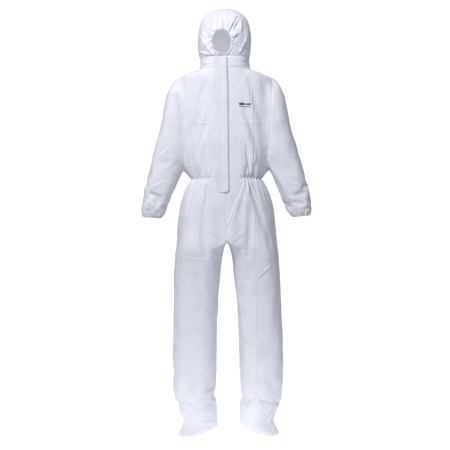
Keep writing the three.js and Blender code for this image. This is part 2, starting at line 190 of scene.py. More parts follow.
def level_loops(rows, sides=96):
    """Loops at rows of height, half width, front and back."""
    u, v = oval(sides)
    height, half, front, back = rows.T
    loops = np.empty((len(rows), sides, 3))
    loops[:, :, 0] = half[:, None] * u
    loops[:, :, 1] = ((front + back) / 2)[:, None] + ((back - front) / 2)[:, None] * v
    loops[:, :, 2] = (height - NECK_HEIGHT)[:, None]
    return loops * MM


def trunk_loops(spare=0.0):
    """The trunk, with some spare length above the neck for a skin that is cut there."""
    rows = smooth_rows(TRUNK, 5)
    fronts = front_at(rows[:, 0])
    loops = level_loops(np.column_stack([rows[:, 0], rows[:, 1], fronts, rows[:, 2]]))
    return np.concatenate([loops[:1] + np.array([0, 0, spare]), loops]) if spare else loops


def leg_loops(side, sides=72):
    rows = smooth_rows(LEG, 6)
    height, x, y, wide, deep, turn = rows.T
    u, v = oval(sides)
    angle = np.radians(turn)[:, None] * side
    across, along = wide[:, None] * u, deep[:, None] * v
    loops = np.empty((len(rows), sides, 3))
    loops[:, :, 0] = side * x[:, None] + across * np.cos(angle) - along * np.sin(angle)
    loops[:, :, 1] = y[:, None] + across * np.sin(angle) + along * np.cos(angle)
    loops[:, :, 2] = (height - NECK_HEIGHT)[:, None]
    return loops * MM


def sleeve_loops(side, sides=64):
    rows = smooth_rows(SLEEVE, 6)
    x0, z0, x1, z1, y, deep = rows.T
    u, v = oval(sides)
    loops = np.empty((len(rows), sides, 3))
    loops[:, :, 0] = side * ((x0 + x1) / 2)[:, None] + side * ((x1 - x0) / 2)[:, None] * u
    loops[:, :, 1] = y[:, None] + deep[:, None] * v
    loops[:, :, 2] = ((z0 + z1) / 2 - NECK_HEIGHT)[:, None] + ((z1 - z0) / 2)[:, None] * u
    return loops * MM


def joined_solids(loop_stacks):
    points, faces, start = [], [], 0
    for loops in loop_stacks:
        own, own_faces = lofted(loops)
        points.append(own)
        faces += [[start + n for n in face] for face in own_faces]
        start += len(own)
    return mesh_from("draft", np.vstack(points), faces)


def applied(draft):
    """The mesh that an object's modifiers make of it; the object goes."""
    mesh = bpy.data.meshes.new_from_object(draft.evaluated_get(bpy.context.evaluated_depsgraph_get()))
    bpy.data.objects.remove(draft)
    return mesh


def remeshed(mesh, size):
    """One even skin round overlapping solids."""
    draft = link("draft", mesh)
    modifier = draft.modifiers.new("skin", "REMESH")
    modifier.mode = "VOXEL"
    modifier.voxel_size = size
    bpy.context.view_layer.update()
    return applied(draft)


def read(items, name, width=3, kind=float):
    out = np.empty(len(items) * width, kind)
    items.foreach_get(name, out)
    return out.reshape(-1, width)


def positions(mesh):
    return read(mesh.vertices, "co")


def set_positions(mesh, co):
    mesh.vertices.foreach_set("co", co.ravel())
    mesh.update()


def normals_of(mesh):
    return read(mesh.vertex_normals, "vector")


def edges_of(mesh):
    return read(mesh.edges, "vertices", 2, int)


def carry(mesh, name, vectors):
    """Stores a vector with each point, which stays with it through cutting."""
    layer = mesh.attributes.new(name, "FLOAT_VECTOR", "POINT")
    layer.data.foreach_set("vector", vectors.astype(np.float32).ravel())


def relaxed(co, edges, rounds, share=0.5):
    """Moves each point towards the middle of its neighbours; share may be one number per point."""
    count = np.bincount(edges.ravel(), minlength=len(co))[:, None]
    share = np.broadcast_to(np.asarray(share, float).reshape(-1, 1), (len(co), 1))
    for _ in range(rounds):
        total = np.zeros_like(co)
        np.add.at(total, edges[:, 0], co[edges[:, 1]])
        np.add.at(total, edges[:, 1], co[edges[:, 0]])
        co = co + share * (total / count - co)
    return co


# ---- The suit's skin: trunk, sleeves, legs and boots in one mesh ----
ARMHOLE_LOW = np.array([0.183, 0, (1182 - NECK_HEIGHT) * MM])
ARMHOLE_HIGH = np.array([0.207, 0, (1545 - NECK_HEIGHT) * MM])
CUFF_SEAM = np.array([0.3215, -0.010, (951.5 - NECK_HEIGHT) * MM])
CUFF_LENGTH = 0.0150
CUFF_LEAN = math.radians(5)
CROTCH_Z = -0.750
# The crotch of the remeshed skin hangs low by this much, at this height.
CROTCH_SAG, CROTCH_SAG_Z = 0.028, -0.776
FOOT_MIDDLE = np.array([0.134, -0.028, 0])
FOOT_TURN = math.radians(32)
ZIP_GAP = 0.006
SIDES = (("left", 1), ("right", -1))


def mirror(vector, side):
    return np.array([side * vector[0], vector[1], vector[2]])


def armhole_plane(side):
    up = ARMHOLE_HIGH - ARMHOLE_LOW
    out = np.array([up[2], 0, -up[0]]) / np.linalg.norm(up)
    return mirror(ARMHOLE_LOW, side), mirror(out, side)


def cuff_plane(side):
    down = np.array([math.sin(CUFF_LEAN), 0, -math.cos(CUFF_LEAN)])
    return mirror(CUFF_SEAM, side), mirror(down, side)


def groin_plane(side):
    """From the crotch up to the hip: above it the cloth stays with the trunk when a leg swings."""
    down = np.array([0.10, 0, -0.20])
    return np.array([0, 0, CROTCH_Z]), mirror(down / np.linalg.norm(down), side)


def foot_plane(side):
    return mirror(FOOT_MIDDLE, side), np.array([side * math.cos(FOOT_TURN), math.sin(FOOT_TURN), 0])


def past(co, plane):
    point, normal = plane
    return (co - point) @ normal


# Heights below the armpit, and how far out the middle of the gap between arm and trunk is there.
ARM_GAP = ([-0.68, -0.584, -0.532, -0.472, -0.438, -0.40], [0.25, 0.232, 0.215, 0.190, 0.186, 0.180])


def in_sleeve(co, side):
    """Beyond the armhole plane and, below the armpit, beyond the middle of the gap beside the trunk."""
    x, z = side * co[:, 0], co[:, 2]
    return (past(co, armhole_plane(side)) > 0) & (z > -0.68) & (x > np.interp(z, *ARM_GAP))


def sleeves_of(co):
    return in_sleeve(co, 1) | in_sleeve(co, -1)


def beside_zip(co):
    """1 on the front beside the zip, where the cloth lies still under the flap, 0 away from it."""
    x, y, z = co.T
    return (1 - step(0.045, 0.085, np.abs(x))) * step(-0.57, -0.53, z) * (y < 0)


def seam_lines(co):
    """Distance to the nearest seam between panels."""
    x, y, z = co.T
    across, trunk = np.abs(x), z > CROTCH_Z
    far = np.full(len(co), 1.0)

    def near(distance, where):
        np.minimum(far, np.where(where, np.abs(distance), 1.0), out=far)

    arm = sleeves_of(co)
    near(y, (across < 0.26) & ~arm & (z > BOOT_Z))
    near(x, (y < 0) & trunk & (z < ZIP_LOW_Z))
    near(x, (y > 0) & trunk)
    near(np.abs(z - BOOT_Z) + 0.0025, z < BOOT_Z + 0.03)
    near(z - SOLE_Z, z < BOOT_Z)
    near(z, z > -0.03)
    for _, side in SIDES:
        shoulder = (side * x > 0.15) & (side * x < 0.25) & (z > -0.42)
        near(past(co, armhole_plane(side)), shoulder)
        near(past(co, foot_plane(side)), (side * x > 0) & (z < BOOT_Z))
        near(past(co, cuff_plane(side)), arm & (side * x > 0) & (z < -0.55))
    return far


def cut(skin, plane, keep):
    """Puts edges where a plane crosses the faces that keep chooses by their middles."""
    chosen = [f for f in skin.faces if keep(f.calc_center_median())]
    parts = {v for f in chosen for v in f.verts} | {e for f in chosen for e in f.edges}
    point, normal = plane
    bmesh.ops.bisect_plane(skin, geom=list(parts) + chosen, dist=1e-5,
                           plane_co=Vector(point), plane_no=Vector(normal))


def cut_suit(skin):
    across, front, up = (1, 0, 0), (0, 1, 0), (0, 0, 1)
    cut(skin, ((0, 0, 0), up), lambda m: m.z > -0.02)
    cut(skin, ((0, 0, BOOT_Z), up), lambda m: abs(m.z - BOOT_Z) < 0.02)
    cut(skin, ((0, 0, SOLE_Z), up), lambda m: m.z < SOLE_Z + 0.02)
    cut(skin, ((0, 0, 0), across), lambda m: abs(m.x) < 0.02)
    cut(skin, ((0, 0, 0), front), lambda m: abs(m.y) < 0.02 and abs(m.x) < 0.26)
    for edge in (-ZIP_GAP, ZIP_GAP):
        cut(skin, ((edge, 0, 0), across), lambda m: m.y < 0 and abs(m.x) < 0.02 and m.z > ZIP_LOW_Z - 0.01)
    cut(skin, ((0, 0, ZIP_LOW_Z), up), lambda m: m.y < 0 and max(abs(m.x), abs(m.z - ZIP_LOW_Z)) < 0.02)
    for _, side in SIDES:
        cut(skin, armhole_plane(side), lambda m: 0.16 < side * m.x < 0.24 and m.z > -0.41)
        cut(skin, cuff_plane(side), lambda m: side * m.x > 0.25 and -0.68 < m.z < -0.58)
        cut(skin, groin_plane(side), lambda m: -0.001 < side * m.x < 0.24 and -0.80 < m.z < -0.58)
        cut(skin, foot_plane(side), lambda m: side * m.x > 0 and m.z < BOOT_Z)


def suit_piece_names(c):
    """The piece that each face belongs to, or an empty name where the skin is cut away."""
    x, y, z = c.T
    names = np.empty(len(c), dtype="U24")
    for label, side in SIDES:
        mine = side * x > 0
        names[mine & (y < 0)] = f"front_panel_{label}"
        names[mine & (y >= 0)] = f"back_panel_{label}"
        leg = mine & (past(c, groin_plane(side)) > 0) & (z < -0.5) & (np.abs(x) < 0.25)
        leg &= ~((z > -0.72) & (np.abs(x) > 0.235))
        names[leg & (y < 0)] = f"leg_front_{label}"
        names[leg & (y >= 0)] = f"leg_back_{label}"
        boot = mine & (z < BOOT_Z)
        outer = past(c, foot_plane(side)) > 0
        names[boot & outer] = f"boot_outer_{label}"
        names[boot & ~outer] = f"boot_inner_{label}"
        names[mine & (z < SOLE_Z)] = f"boot_sole_{label}"
        arm = mine & in_sleeve(c, side)
        names[arm] = f"sleeve_{label}"
        names[arm & (past(c, cuff_plane(side)) > 0) & (z < -0.55)] = ""
    names[z > 0] = ""
    names[(y < 0) & (np.abs(x) < ZIP_GAP) & (z > ZIP_LOW_Z)] = ""
    return names


# ---- Cloth simulation of the whole suit ----
SIM_FRAMES = 20
MOST_MOVE = 0.022
CLOTH = {
    "quality": 4, "mass": 0.15, "air_damping": 2, "tension_stiffness": 20, "compression_stiffness": 20,
    "shear_stiffness": 10, "bending_model": "ANGULAR", "bending_stiffness": 5, "tension_damping": 12,
    "compression_damping": 12, "shear_damping": 12, "bending_damping": 1, "pin_stiffness": 1,
}


def weight_group(thing, name, weights):
    group = thing.vertex_groups.new(name=name)
    for n, weight in enumerate(weights):
        group.add([n], float(weight), "REPLACE")
    return name


def hold_weights(co):
    """How firmly each point keeps its place: 1 where the cloth is fixed."""
    z = co[:, 2]
    hold = np.full(len(co), 0.17)
    hold += 0.5 * (1 - step(BOOT_Z - 0.03, BOOT_Z + 0.03, z))
    hold += 0.8 * beside_zip(co) + 0.5 * step(-0.06, -0.02, z)
    fixed = (z > -0.004) | (z < SOLE_Z + 0.003)
    for _, side in SIDES:
        above = -past(co, cuff_plane(side))
        arm = in_sleeve(co, side)
        hold += 0.2 * arm * np.clip(1 - above / 0.03, 0, 1)
        fixed |= arm & (above < 0)
    return np.where(fixed, 1, np.minimum(hold, 0.99))


def slack_weights(co):
    """Spare cloth as a share of each length, negative where elastic draws the cloth in."""
    x, _, z = co.T
    arm = sleeves_of(co)
    waist = bell(z - WAIST_Z, 0.010) * ~arm
    slack = 0.009 + 0.005 * bell(z + 1.43, 0.05) + 0.003 * bell(z + 1.10, 0.06)
    slack += 0.015 * bell(z + 0.73, 0.06) * bell(x, 0.12) + 0.03 * bell(z + 0.43, 0.05) * ~arm
    for _, side in SIDES:
        above = -past(co, cuff_plane(side))
        slack += 0.006 * in_sleeve(co, side) * bell(above - 0.08, 0.06)
    slack *= 1 - beside_zip(co)
    return slack * (1 - waist) - 0.14 * waist


def draped(mesh):
    """Where the cloth settles round the body, with elastic at the waist."""
    rest = positions(mesh)
    suit = link("suit", mesh.copy())
    hold, slack = hold_weights(rest), slack_weights(rest)
    free = (hold < 1) * (1 - beside_zip(rest))
    start = 0.0018 * noise(rest * np.array([1, 1, 0.45]), 0.035, 1) + 0.0012 * noise(rest, 0.06, 2)
    set_positions(suit.data, rest + normals_of(mesh) * (start * free)[:, None])
    lowest, highest = -slack.max(), -slack.min()
    cloth = suit.modifiers.new("drape", "CLOTH")
    kept = cloth.settings
    kept.vertex_group_mass = weight_group(suit, "hold", hold)
    kept.vertex_group_shrink = weight_group(suit, "slack", (-slack - lowest) / (highest - lowest))
    kept.shrink_min, kept.shrink_max = lowest, highest
    for key, value in CLOTH.items():
        setattr(kept, key, value)
    kept.effector_weights.gravity = 0.5
    cloth.collision_settings.use_collision = False
    cloth.collision_settings.use_self_collision = False
    cloth.point_cache.frame_start, cloth.point_cache.frame_end = 1, SIM_FRAMES
    for n in range(1, SIM_FRAMES + 1):
        bpy.context.scene.frame_set(n)
    settled = applied(suit)
    bpy.context.scene.frame_set(1)
    move = (positions(settled) - rest) * (1 - beside_zip(rest))[:, None]
    far = np.linalg.norm(move, axis=1, keepdims=True)
    return rest + move * np.minimum(1, MOST_MOVE / np.maximum(far, 1e-9))


def subdivided(mesh, co):
    """The mesh with its points at co, with each face split into four and smoothed."""
    draft = link("draft", mesh.copy())
    set_positions(draft.data, co)
    draft.modifiers.new("fine", "SUBSURF")
    draft.modifiers["fine"].levels = 1
    return applied(draft)


# ---- Skins that carry vectors from their rest shape through cutting ----
def skin_from(points, faces, fields):
    mesh = mesh_from("draft", points, faces)
    for name, values in fields.items():
        carry(mesh, name, values)
    skin = bmesh.new()
    skin.from_mesh(mesh)
    return skin


def unpacked(skin, names):
    mesh = bpy.data.meshes.new("draft")
    skin.to_mesh(mesh)
    skin.free()
    return mesh, positions(mesh), [read(mesh.attributes[name].data, "vector") for name in names]


def faces_of(mesh):
    return [tuple(p.vertices) for p in mesh.polygons]


def middles(co, faces):
    return np.array([co[list(f)].mean(axis=0) for f in faces])


def refine(skin, wanted):
    """Splits each face whose middle is wanted into four."""
    centre = np.array([f.calc_center_median() for f in skin.faces])
    chosen = wanted(centre)
    edges = {e for f, pick in zip(skin.faces, chosen) if pick for e in f.edges}
    bmesh.ops.subdivide_edges(skin, edges=list(edges), cuts=1, use_grid_fill=True)


def wants_detail(c):
    _, y, z = c.T
    arm = sleeves_of(c)
    fine = (np.abs(z - WAIST_Z) < 0.045) & ~arm
    fine |= seam_lines(c) < 0.007
    for _, side in SIDES:
        fine |= in_sleeve(c, side) & (past(c, cuff_plane(side)) > -0.05)
    return fine | near_folds(c, SUIT_FOLDS) & (y < 0.03)


# ---- Folds, gathers and creases ----
# The radius of the rounded top of a ridge.
FOLD_TOP = 0.0010


def pleated(turn, count, seed):
    """Round-topped pleats from 0 to 1, a little uneven, as many as count in one turn."""
    angle = 2 * np.pi * turn
    circle = np.stack([np.cos(angle), np.sin(angle), 0 * angle], 1) * count / (10 * np.pi)
    return np.abs(np.sin(np.pi * (count * turn + 0.6 * noise(circle, 1, seed))))


def seen(co):
    """Where the camera sees points, as x and z in the plane of the suit's middle."""
    nearness = CAMERA_AWAY / (CAMERA_AWAY + co[:, 1])
    return co[:, 0] * nearness, CAMERA_Z + (co[:, 2] - CAMERA_Z) * nearness


def in_metres(table):
    return [[value * MM for value in row] for row in table]


def along_fold(x, z, fold):
    """How far beside a fold points lie, and how much of the fold is left there near its ends."""
    x0, z0, x1, z1 = fold[:4]
    length = math.hypot(x1 - x0, z1 - z0)
    ux, uz = (x1 - x0) / length, (z1 - z0) / length
    along = (x - x0) * ux + (z - z0) * uz
    off = (x - x0) * uz - (z - z0) * ux
    ends = step(-0.012, 0.02, along) * (1 - step(length - 0.02, length + 0.012, along))
    return (off if ux * uz >= 0 else -off), ends


def strokes(co, table):
    """Folds drawn on the front, each a ridge with a hollow below it."""
    x, z = seen(co)
    total = np.zeros(len(co))
    for n, fold in enumerate(in_metres(table)):
        width, height = fold[4:]
        off, ends = along_fold(x, z, fold)
        off = off + 0.25 * width * noise(np.stack([x, x * 0, z], 1), 0.03, n)
        crest = np.exp((FOLD_TOP - np.sqrt(off ** 2 + FOLD_TOP ** 2)) / (0.8 * width))
        total += height * ends * (crest - 0.55 * bell(off - 1.7 * width, 1.3 * width))
    return total


def near_folds(co, table):
    x, z = seen(co)
    near = np.zeros(len(co), bool)
    for fold in in_metres(table):
        off, ends = along_fold(x, z, fold)
        near |= (np.abs(off) < 2 * fold[4]) & (ends > 0.02)
    return near


# Each fold runs from x, z to x, z and has a half width and a height, in millimetres, as the camera sees it.
SUIT_FOLDS = [
    # from the waist up over the chest
    (-87, -467, -37, -367, 4.5, 3), (-104, -450, -96, -385, 4.5, 2.6), (-120, -455, -128, -375, 5, 2.4),
    (-70, -462, -55, -400, 4, 2), (81, -456, 40, -353, 4.5, 3), (62, -400, 18, -298, 6, 1.8),
    (94, -450, 80, -300, 6, 2.6), (120, -452, 134, -360, 5, 2.4), (104, -455, 100, -400, 4, 2.4),
    # from the waist down over the hips
    (81, -470, 14, -526, 5, 4.2), (98, -474, 98, -535, 4.5, 3.2), (-82, -476, -60, -530, 4.5, 3.2),
    (-90, -478, -106, -575, 5, 3), (116, -476, 140, -560, 5, 2.8), (-112, -478, -138, -560, 5, 2.8),
    (85, -480, 8, -665, 5.5, 3.4), (60, -560, 14, -690, 4.5, 2.2), (-66, -500, -14, -600, 5, 1.6),
    # the waist line itself, sagging a little
    (-81, -460, -20, -447, 3.5, 1.6), (-20, -447, 68, -464, 3.5, 1.6),
    # crotch and thighs
    (-12, -735, -90, -690, 7, 1.5), (16, -742, 85, -700, 7, 1.5), (16, -770, 100, -800, 7, 1.3),
    (-16, -775, -85, -812, 7, 1.2), (138, -898, 195, -845, 6, 2.4), (-100, -596, -100, -752, 3, 1.2),
    (-62, -626, -62, -750, 3, 1.6), (-102, -752, -64, -750, 3, 1.2),
    # creases from packing
    (-126, -141, -126, -440, 2.6, 1), (120, -60, 121, -440, 2.6, 1.4), (-126, -520, -132, -1380, 2.6, 1),
    (122, -520, 128, -1360, 2.6, 1.2), (-165, -219, -30, -222, 2.6, 1.1), (30, -217, 160, -221, 2.6, 1.1),
    (-190, -812, -60, -816, 2.6, 0.9), (70, -822, 210, -815, 2.6, 0.9), (-200, -1128, -70, -1136, 4, 1.4),
    (85, -1140, 215, -1126, 4, 1.4), (-215, -1165, -150, -1150, 5, 1.2), (150, -1170, 225, -1155, 5, 1.4),
    # ankles and boots
    (-137, -1481, -85, -1460, 5, 3.4), (-186, -1388, -150, -1418, 5, 2.6),
    (-146, -1532, -62, -1538, 3.5, 2.2), (-126, -1505, -70, -1498, 5, 2.6),
    (178, -1532, 207, -1478, 5.5, 3.6), (166, -1520, 190, -1470, 4, 2.6), (120, -1400, 150, -1480, 5, 2.2),
    (160, -1440, 212, -1425, 5, 2.2),
    # sleeves
    (204, -127, 232, -128, 3.5, 1.8), (250, -340, 300, -375, 6, 2.4), (285, -480, 335, -500, 6, 2.2),
    (-255, -330, -300, -372, 6, 2.2), (-275, -470, -330, -500, 6, 2.2), (-345, -560, -300, -600, 5, 2.2),
]
# The back repeats the first of them, mirrored.
BACK_FOLDS = SUIT_FOLDS[:36]


def round_cuff(co, side):
    """Distance above the cuff seam, and the share of a turn round the cuff."""
    point, down = cuff_plane(side)
    off = co - point
    return -off @ down, np.arctan2(off[:, 1], side * off[:, 0]) / (2 * np.pi)


def cuff_gathers(co, side):
    above, turn = round_cuff(co, side)
    pleats = pleated(turn, 25, 3 + side) - 0.5
    wide = pleated(turn, 10, 5 + side) - 0.5
    return np.exp(-np.abs(above) / 0.014) * 0.0034 * pleats + np.exp(-np.abs(above) / 0.035) * 0.0034 * wide


def suit_relief(rest, normals):
    """How far each point of the suit stands out from the draped surface."""
    x, y, z = rest.T
    arm = sleeves_of(rest)
    quiet = 1 - beside_zip(rest)
    boot = 1 - step(BOOT_Z - 0.02, BOOT_Z + 0.04, z)
    down = np.array([1, 1, 0.4])
    out = 0.0026 * noise(rest * down, 0.075, 4) + 0.0011 * noise(rest * down, 0.028, 5)
    out += 0.0014 * (0.5 - np.abs(noise(rest * np.array([1, 1, 0.6]), 0.042, 6))) * (1 + 0.6 * arm)
    out *= 1 - 0.55 * boot
    from_waist = z - WAIST_Z
    turn = np.arctan2(y, x) / (2 * np.pi)
    pleats = pleated(turn, 65, 8) + 0.5 * pleated(turn, 112, 9) - 0.75
    grip = (0.45 + 0.55 * step(0.05, 0.10, np.abs(x)) * (y < 0.02) + 0.35 * (y >= 0.02)) * ~arm
    out += 0.0050 * pleats * np.exp(-np.abs(from_waist) / 0.028) * grip
    out -= 0.0018 * bell(from_waist, 0.006) * ~arm
    for _, side in SIDES:
        mine = in_sleeve(rest, side)
        out[mine] += cuff_gathers(rest[mine], side)
    facing = step(0.0, 0.45, -normals[:, 1])
    out += 1.35 * facing * strokes(rest, SUIT_FOLDS)
    backs = rest * np.array([-1, 1, 1]) - np.array([0.012, 0, 0.008])
    out += step(0.0, 0.45, normals[:, 1]) * 0.8 * strokes(backs, BACK_FOLDS)
    out *= quiet
    seam = seam_lines(rest)
    pucker = noise(rest, 0.011, 11)
    out += -0.0016 * bell(seam, 0.0028) + 0.0007 * bell(seam, 0.012) * pucker * (0.3 + 0.7 * quiet)
    edge = step(-0.012, -0.001, z) * (z > -0.02)
    return out * (1 - 0.8 * edge)


def displaced(mesh, now, rest, relief):
    set_positions(mesh, now)
    normals = normals_of(mesh)
    set_positions(mesh, now + normals * relief(rest, normals)[:, None])
    return mesh


def suit_skin():
    stacks = [trunk_loops(0.05)]
    for _, side in SIDES:
        stacks += [leg_loops(side), sleeve_loops(side)]
    mesh = remeshed(joined_solids(stacks), VOXEL)
    co = positions(mesh)
    soft = 0.35 + 0.15 * bell(np.abs(co[:, 0]) - 0.17, 0.05) * step(-0.45, -0.38, co[:, 2])
    co = relaxed(co, edges_of(mesh), 10, soft)
    co[:, 2] += CROTCH_SAG * bell(co[:, 0], 0.024) * bell(co[:, 2] - CROTCH_SAG_Z, 0.035)
    set_positions(mesh, co)
    rest = subdivided(mesh, positions(mesh))
    now = subdivided(mesh, draped(mesh))
    skin = skin_from(positions(rest), faces_of(rest), {"now": positions(now)})
    refine(skin, wants_detail)
    cut_suit(skin)
    mesh, rest, (now,) = unpacked(skin, ["now"])
    now = relaxed(now, edges_of(mesh), 2, 0.3)
    return displaced(mesh, now, rest, suit_relief), rest


# ---- Hood: a grid from the face opening back over the head to the collar ----
HOOD_EYE = np.array([0, 0.008, 0.125])
OPENING = {"x": -0.0130, "z": 0.1035, "half": 0.0405, "tall": 0.0535, "lean": 0.008}
CROWN = [1844.5, 11, 4, 24]
# The face hem's width and the distance between its two faces.
HEM, HEM_APART = 0.0115, 0.0034
HEM_ROWS, HOOD_ROWS, HOOD_COLUMNS = 9, 105, 320
CENTRE_HALF = 0.052
FACE_Z = (1694 - NECK_HEIGHT) * MM


def inside_opening(points):
    """Below 0 inside the egg-shaped face opening, above 0 outside it."""
    x, z = points[..., 0], points[..., 2]
    v = (z - OPENING["z"]) / OPENING["tall"]
    low = np.clip(-v, 0, None)
    u = (x - OPENING["x"] - OPENING["lean"] * low ** 3) / (OPENING["half"] * (1 + 0.05 * v - 0.12 * low ** 2))
    return np.where(points[..., 1] < 0, u ** 2 + v ** 2 - 1, 1)


def surface_of(loop_stacks):
    mesh = joined_solids(loop_stacks)
    return BVHTree.FromPolygons([Vector(p) for p in positions(mesh)], faces_of(mesh))


def hood_loops():
    return level_loops(smooth_rows(HOOD + [CROWN], 5), 128)


# Where the middle of the face and of the neck lie on the plane that the map works in.
FACE_POLE, NECK_POLE = -0.1625j, -0.4234j


def head_directions(angles, radii):
    """Directions on a grid of circles that run from the face to the neck, by a Moebius map."""
    m = radii[None, :] * np.exp(1j * angles[:, None])
    top, bottom = FACE_POLE - NECK_POLE * m, 1 - m
    size = np.abs(top) ** 2 + np.abs(bottom) ** 2
    side = 2 * top * np.conj(bottom) / size
    front = (np.abs(bottom) ** 2 - np.abs(top) ** 2) / size
    return np.stack([side.real, -front, side.imag], -1)


def hits(surface, start, directions):
    flat = directions.reshape(-1, 3)
    found = [surface.ray_cast(Vector(start), Vector(d))[0] for d in flat]
    return np.array(found, float).reshape(directions.shape)


def lengths_along(lines):
    steps = np.linalg.norm(np.diff(lines, axis=1), axis=2)
    return np.hstack([np.zeros((len(lines), 1)), np.cumsum(steps, axis=1)])


def along_columns(lines, start, end, shares):
    """Points on each polyline between two of its own lengths, at shares of the way."""
    length = lengths_along(lines)
    out = np.empty((len(lines), shares.shape[1], 3))
    for n, line in enumerate(lines):
        at = start[n] + shares[n] * (end[n] - start[n])
        for axis in range(3):
            out[n, :, axis] = np.interp(at, length[n], line[:, axis])
    return out


def crossing(value, length):
    """The length at which each row of values first rises above 0."""
    n = np.maximum((value > 0).argmax(axis=1), 1)
    row = np.arange(len(value))
    a, b = value[row, n - 1], value[row, n]
    share = np.clip(-a / (b - a), 0, 1)
    return length[row, n - 1] + share * (length[row, n] - length[row, n - 1])


def hood_columns(surface, angles):
    """Lines from inside the face opening to below the collar, and where they cross both edges."""
    lines = hits(surface, HOOD_EYE, head_directions(angles, np.geomspace(0.30, 1.6, 230)))
    length = lengths_along(lines)
    rim = crossing(inside_opening(lines), length)
    beyond_rim = np.where(length > rim[:, None], COLLAR_Z - lines[..., 2], -1)
    return lines, rim, crossing(beyond_rim, length)


def even_angles(surface):
    """Angles whose columns are spread half evenly along the edge of the opening."""
    angles = turns(HOOD_COLUMNS)
    lines, rim, _ = hood_columns(surface, angles)
    edge = along_columns(lines, rim, rim, np.zeros((len(lines), 1)))[:, 0]
    gap = np.linalg.norm(np.roll(edge, -1, axis=0) - edge, axis=1)
    share = 0.5 / HOOD_COLUMNS + 0.5 * gap / gap.sum()
    total = np.concatenate([[0], np.cumsum(share)])
    return np.interp(angles / (2 * np.pi), total, np.arange(HOOD_COLUMNS + 1) * 2 * np.pi / HOOD_COLUMNS)


def hood_grid():
    """Points by column and row, the length round the opening and the distance from its edge."""
    surface = surface_of([hood_loops()])
    angles = even_angles(surface)
    lines, rim, base = hood_columns(surface, angles)
    whole = base - rim
    hem = np.minimum(HEM, 0.55 * whole)
    hem_share = np.tile(np.linspace(0, 1, HEM_ROWS), (len(angles), 1))
    hem_points = along_columns(lines, rim, rim + hem, hem_share)
    step_share = np.linspace(0, 1, HOOD_ROWS)[None, :]
    growth = np.interp(whole, [0.05, 0.45], [0.05, 1.9])[:, None]
    share = np.expm1(growth * step_share) / np.expm1(growth)
    points = along_columns(lines, rim + hem, base, share)
    away = hem[:, None] + share * (whole - hem)[:, None]
    gap = np.linalg.norm(np.roll(points[:, 0], -1, axis=0) - points[:, 0], axis=1)
    turn = np.concatenate([[0], np.cumsum(gap)[:-1]]) / gap.sum()
    return hem_points, hem_share * hem[:, None], points, away, turn


HOOD_FOLDS = [
    # pleats from the opening towards the crown
    (20, 182, 52, 242, 3.5, 4.2), (34, 178, 55, 225, 3.5, 3.6), (8, 186, 22, 222, 3.5, 2.2),
    (70, 170, 75, 222, 4.5, 3.6), (-34, 186, -33, 272, 4, 2.2), (-60, 150, -60, 268, 4, 2),
    (-12, 190, -18, 262, 5, 1.4), (6, 196, 10, 265, 4.5, 1.8),
    # beside and below the opening
    (30, 148, 62, 168, 4, 3.6), (30, 128, 48, 160, 3.5, 3), (-108, 158, -50, 68, 7, 3.6),
    (-100, 180, -64, 104, 6.5, 3), (62, 78, 98, 148, 6, 3.6), (36, 62, 88, 52, 5, 2.6),
    (-108, 60, -52, 58, 4, 3), (-112, 88, -56, 70, 4.5, 2.4), (22, 60, 34, 84, 3.5, 2.2),
    (86, 110, 104, 200, 5, 3),
]
COLLAR_FOLDS = [
    (-112, 14, -62, 20, 4, 3.4), (-108, 34, -48, 40, 3.5, 2.6), (40, 34, 100, 28, 4, 2.4),
    (58, 14, 108, 10, 4, 2.6), (-58, 6, -46, 36, 4, 1.6),
]


def hood_relief(rest, normals, turn, away):
    """How far each point of the hood stands out; turn and away are round and from the opening's edge."""
    out = 0.0030 * noise(rest, 0.065, 14) + 0.0011 * noise(rest, 0.022, 15)
    out += 0.0016 * (0.5 - np.abs(noise(rest, 0.035, 16)))
    pleats = pleated(turn, 38, 17) - 0.6
    wide = pleated(turn, 12, 18) - 0.6
    uneven = 0.8 + 0.5 * noise(rest, 0.018, 21)
    out += 0.0024 * uneven * pleats * np.exp(-away / 0.012)
    out += 0.0060 * wide * np.exp(-away / 0.055) * (1 - 0.6 * np.exp(-away / 0.008))
    out += 1.4 * step(0.0, 0.4, -normals[:, 1]) * strokes(rest, HOOD_FOLDS)
    centre = np.where((rest[:, 1] > 0) | (rest[:, 2] > FACE_Z), np.abs(np.abs(rest[:, 0]) - CENTRE_HALF), 1)
    chin = np.where((rest[:, 1] < 0) & (rest[:, 2] < FACE_Z), np.abs(rest[:, 0]), 1)
    seam = np.minimum(centre, chin)
    out += -0.0009 * bell(seam, 0.0025) + 0.0007 * bell(seam, 0.010) * noise(rest, 0.010, 19)
    return out * step(COLLAR_Z, COLLAR_Z + 0.010, rest[:, 2]) + collar_seam(rest)


def collar_seam(rest):
    """A soft groove where the hood is sewn to the neck band."""
    off = rest[:, 2] - COLLAR_Z
    return -0.0022 * bell(off, 0.0035) + 0.0010 * bell(off, 0.012) * noise(rest, 0.012, 20)


def cut_hood(skin):
    up, across = (0, 0, 1), (1, 0, 0)
    for edge in (-CENTRE_HALF, CENTRE_HALF):
        cut(skin, ((edge, 0, 0), across), lambda m: m.y > -0.004 or m.z > FACE_Z - 0.01)
    cut(skin, ((0, 0, 0), across), lambda m: m.y < 0 and m.z < FACE_Z and abs(m.x) < 0.02)
    cut(skin, ((0, 0, 0), (0, 1, 0)), lambda m: abs(m.y) < 0.02 and abs(m.x) < CENTRE_HALF)
    cut(skin, ((0, 0, FACE_Z), up), lambda m: m.y < 0 and abs(m.x) < CENTRE_HALF and abs(m.z - FACE_Z) < 0.02)


def hood_piece_names(c):
    x, y, z = c.T
    names = np.where(x > 0, "hood_side_panel_left", "hood_side_panel_right")
    return np.where((np.abs(x) < CENTRE_HALF) & ((y > 0) | (z > FACE_Z)), "hood_centre_panel", names)


